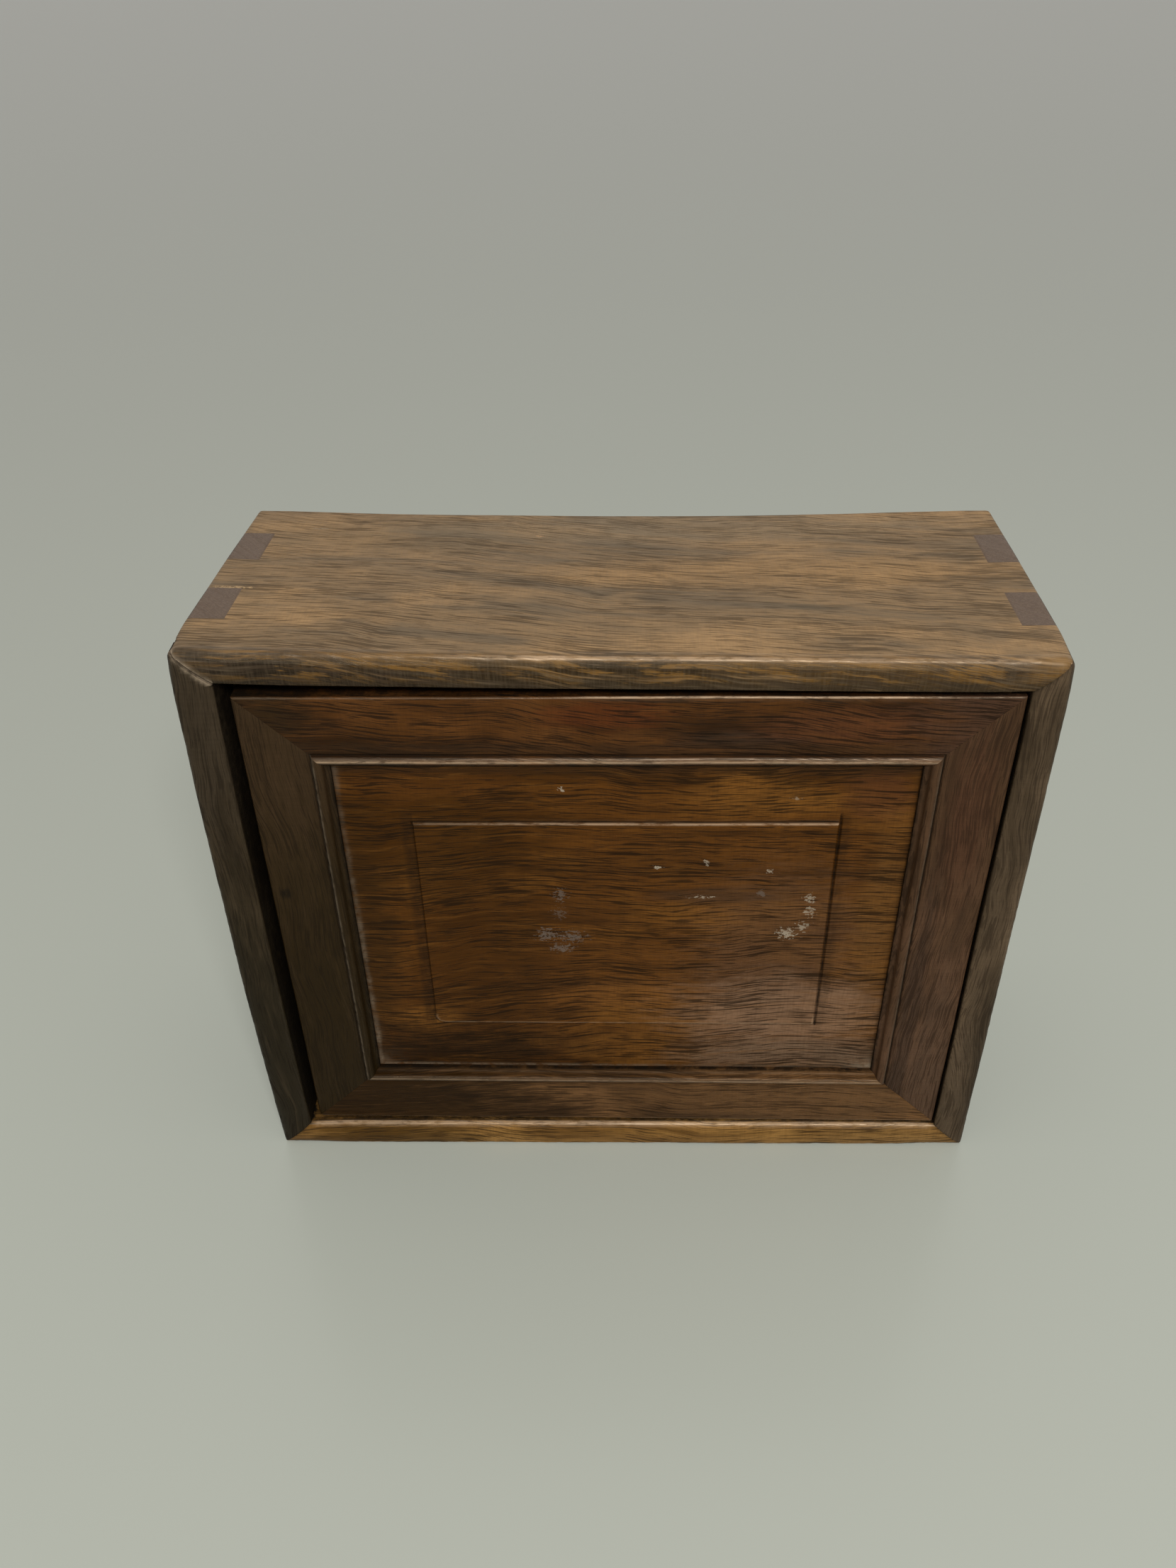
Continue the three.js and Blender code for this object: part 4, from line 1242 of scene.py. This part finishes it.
PHOTO_HEIGHT = 2212
FOCAL_PIXELS = 1744.55
SENSOR = 36
CAMERA_PLACE = (-2.33, -346.74, 379.7)
CAMERA_PITCH = math.radians(35.86)
CAMERA_YAW = math.radians(-1.53)
CAMERA_ROLL = math.radians(-1.05)


def make_camera():
    """The camera that took the photo, as fitted to the places measured in it."""
    data = bpy.data.cameras.new("camera")
    camera = add_object("camera", data)
    data.sensor_width = SENSOR
    data.lens = FOCAL_PIXELS * SENSOR / PHOTO_HEIGHT
    data.clip_start = 0.01
    data.clip_end = 50
    level = math.cos(CAMERA_PITCH)
    ahead = Vector((math.sin(CAMERA_YAW) * level, math.cos(CAMERA_YAW) * level, -math.sin(CAMERA_PITCH)))
    right = Vector((math.cos(CAMERA_YAW), -math.sin(CAMERA_YAW), 0))
    up = right.cross(ahead)
    rolled_right = right * math.cos(CAMERA_ROLL) + up * math.sin(CAMERA_ROLL)
    rolled_up = up * math.cos(CAMERA_ROLL) - right * math.sin(CAMERA_ROLL)
    turn = Matrix((rolled_right, rolled_up, -ahead)).transposed().to_4x4()
    camera.matrix_world = Matrix.Translation(Vector(CAMERA_PLACE) * MM) @ turn
    bpy.context.scene.camera = camera


# Stage and light

FLOOR_HALF = 6
FLOOR_BACK = 12
FLOOR_TONE = colour(180, 184, 173)
FLOOR_ROUGHNESS = 0.22
LIGHT_PLACE = (0.3, -1.5, 1.44)
LIGHT_TARGET = (0, 0, 0.1)
LIGHT_SIZE = (0.7, 0.3)
LIGHT_POWER = 30
WORLD_LIGHT = 0.6
WORLD_TONE = (0.82, 0.8, 0.77, 1)


def make_stage():
    """A plain pale floor with a satin finish."""
    graph = Graph("floor_paint")
    graph.shader.inputs["Base Color"].default_value = FLOOR_TONE
    graph.shader.inputs["Roughness"].default_value = FLOOR_ROUGHNESS
    mesh = bpy.data.meshes.new("floor")
    corners = [(-FLOOR_HALF, -FLOOR_HALF, 0), (FLOOR_HALF, -FLOOR_HALF, 0), (FLOOR_HALF, FLOOR_BACK, 0),
               (-FLOOR_HALF, FLOOR_BACK, 0)]
    mesh.from_pydata(corners, [], [(0, 1, 2, 3)])
    mesh.materials.append(graph.material)
    floor = add_object("floor", mesh)


def make_light():
    """One soft light from the front, and an even grey one all round."""
    data = bpy.data.lights.new("key", "AREA")
    data.shape = "RECTANGLE"
    data.size, data.size_y = LIGHT_SIZE
    data.energy = LIGHT_POWER
    light = add_object("key", data)
    light.location = LIGHT_PLACE
    light.rotation_euler = (Vector(LIGHT_TARGET) - Vector(LIGHT_PLACE)).to_track_quat("-Z", "Y").to_euler()
    world = bpy.data.worlds.new("studio")
    bpy.context.scene.world = world
    world.use_nodes = True
    background = world.node_tree.nodes["Background"]
    background.inputs["Color"].default_value = WORLD_TONE
    background.inputs["Strength"].default_value = WORLD_LIGHT


make_camera()
make_stage()
make_light()

bpy.context.scene.view_settings.view_transform = "Standard"
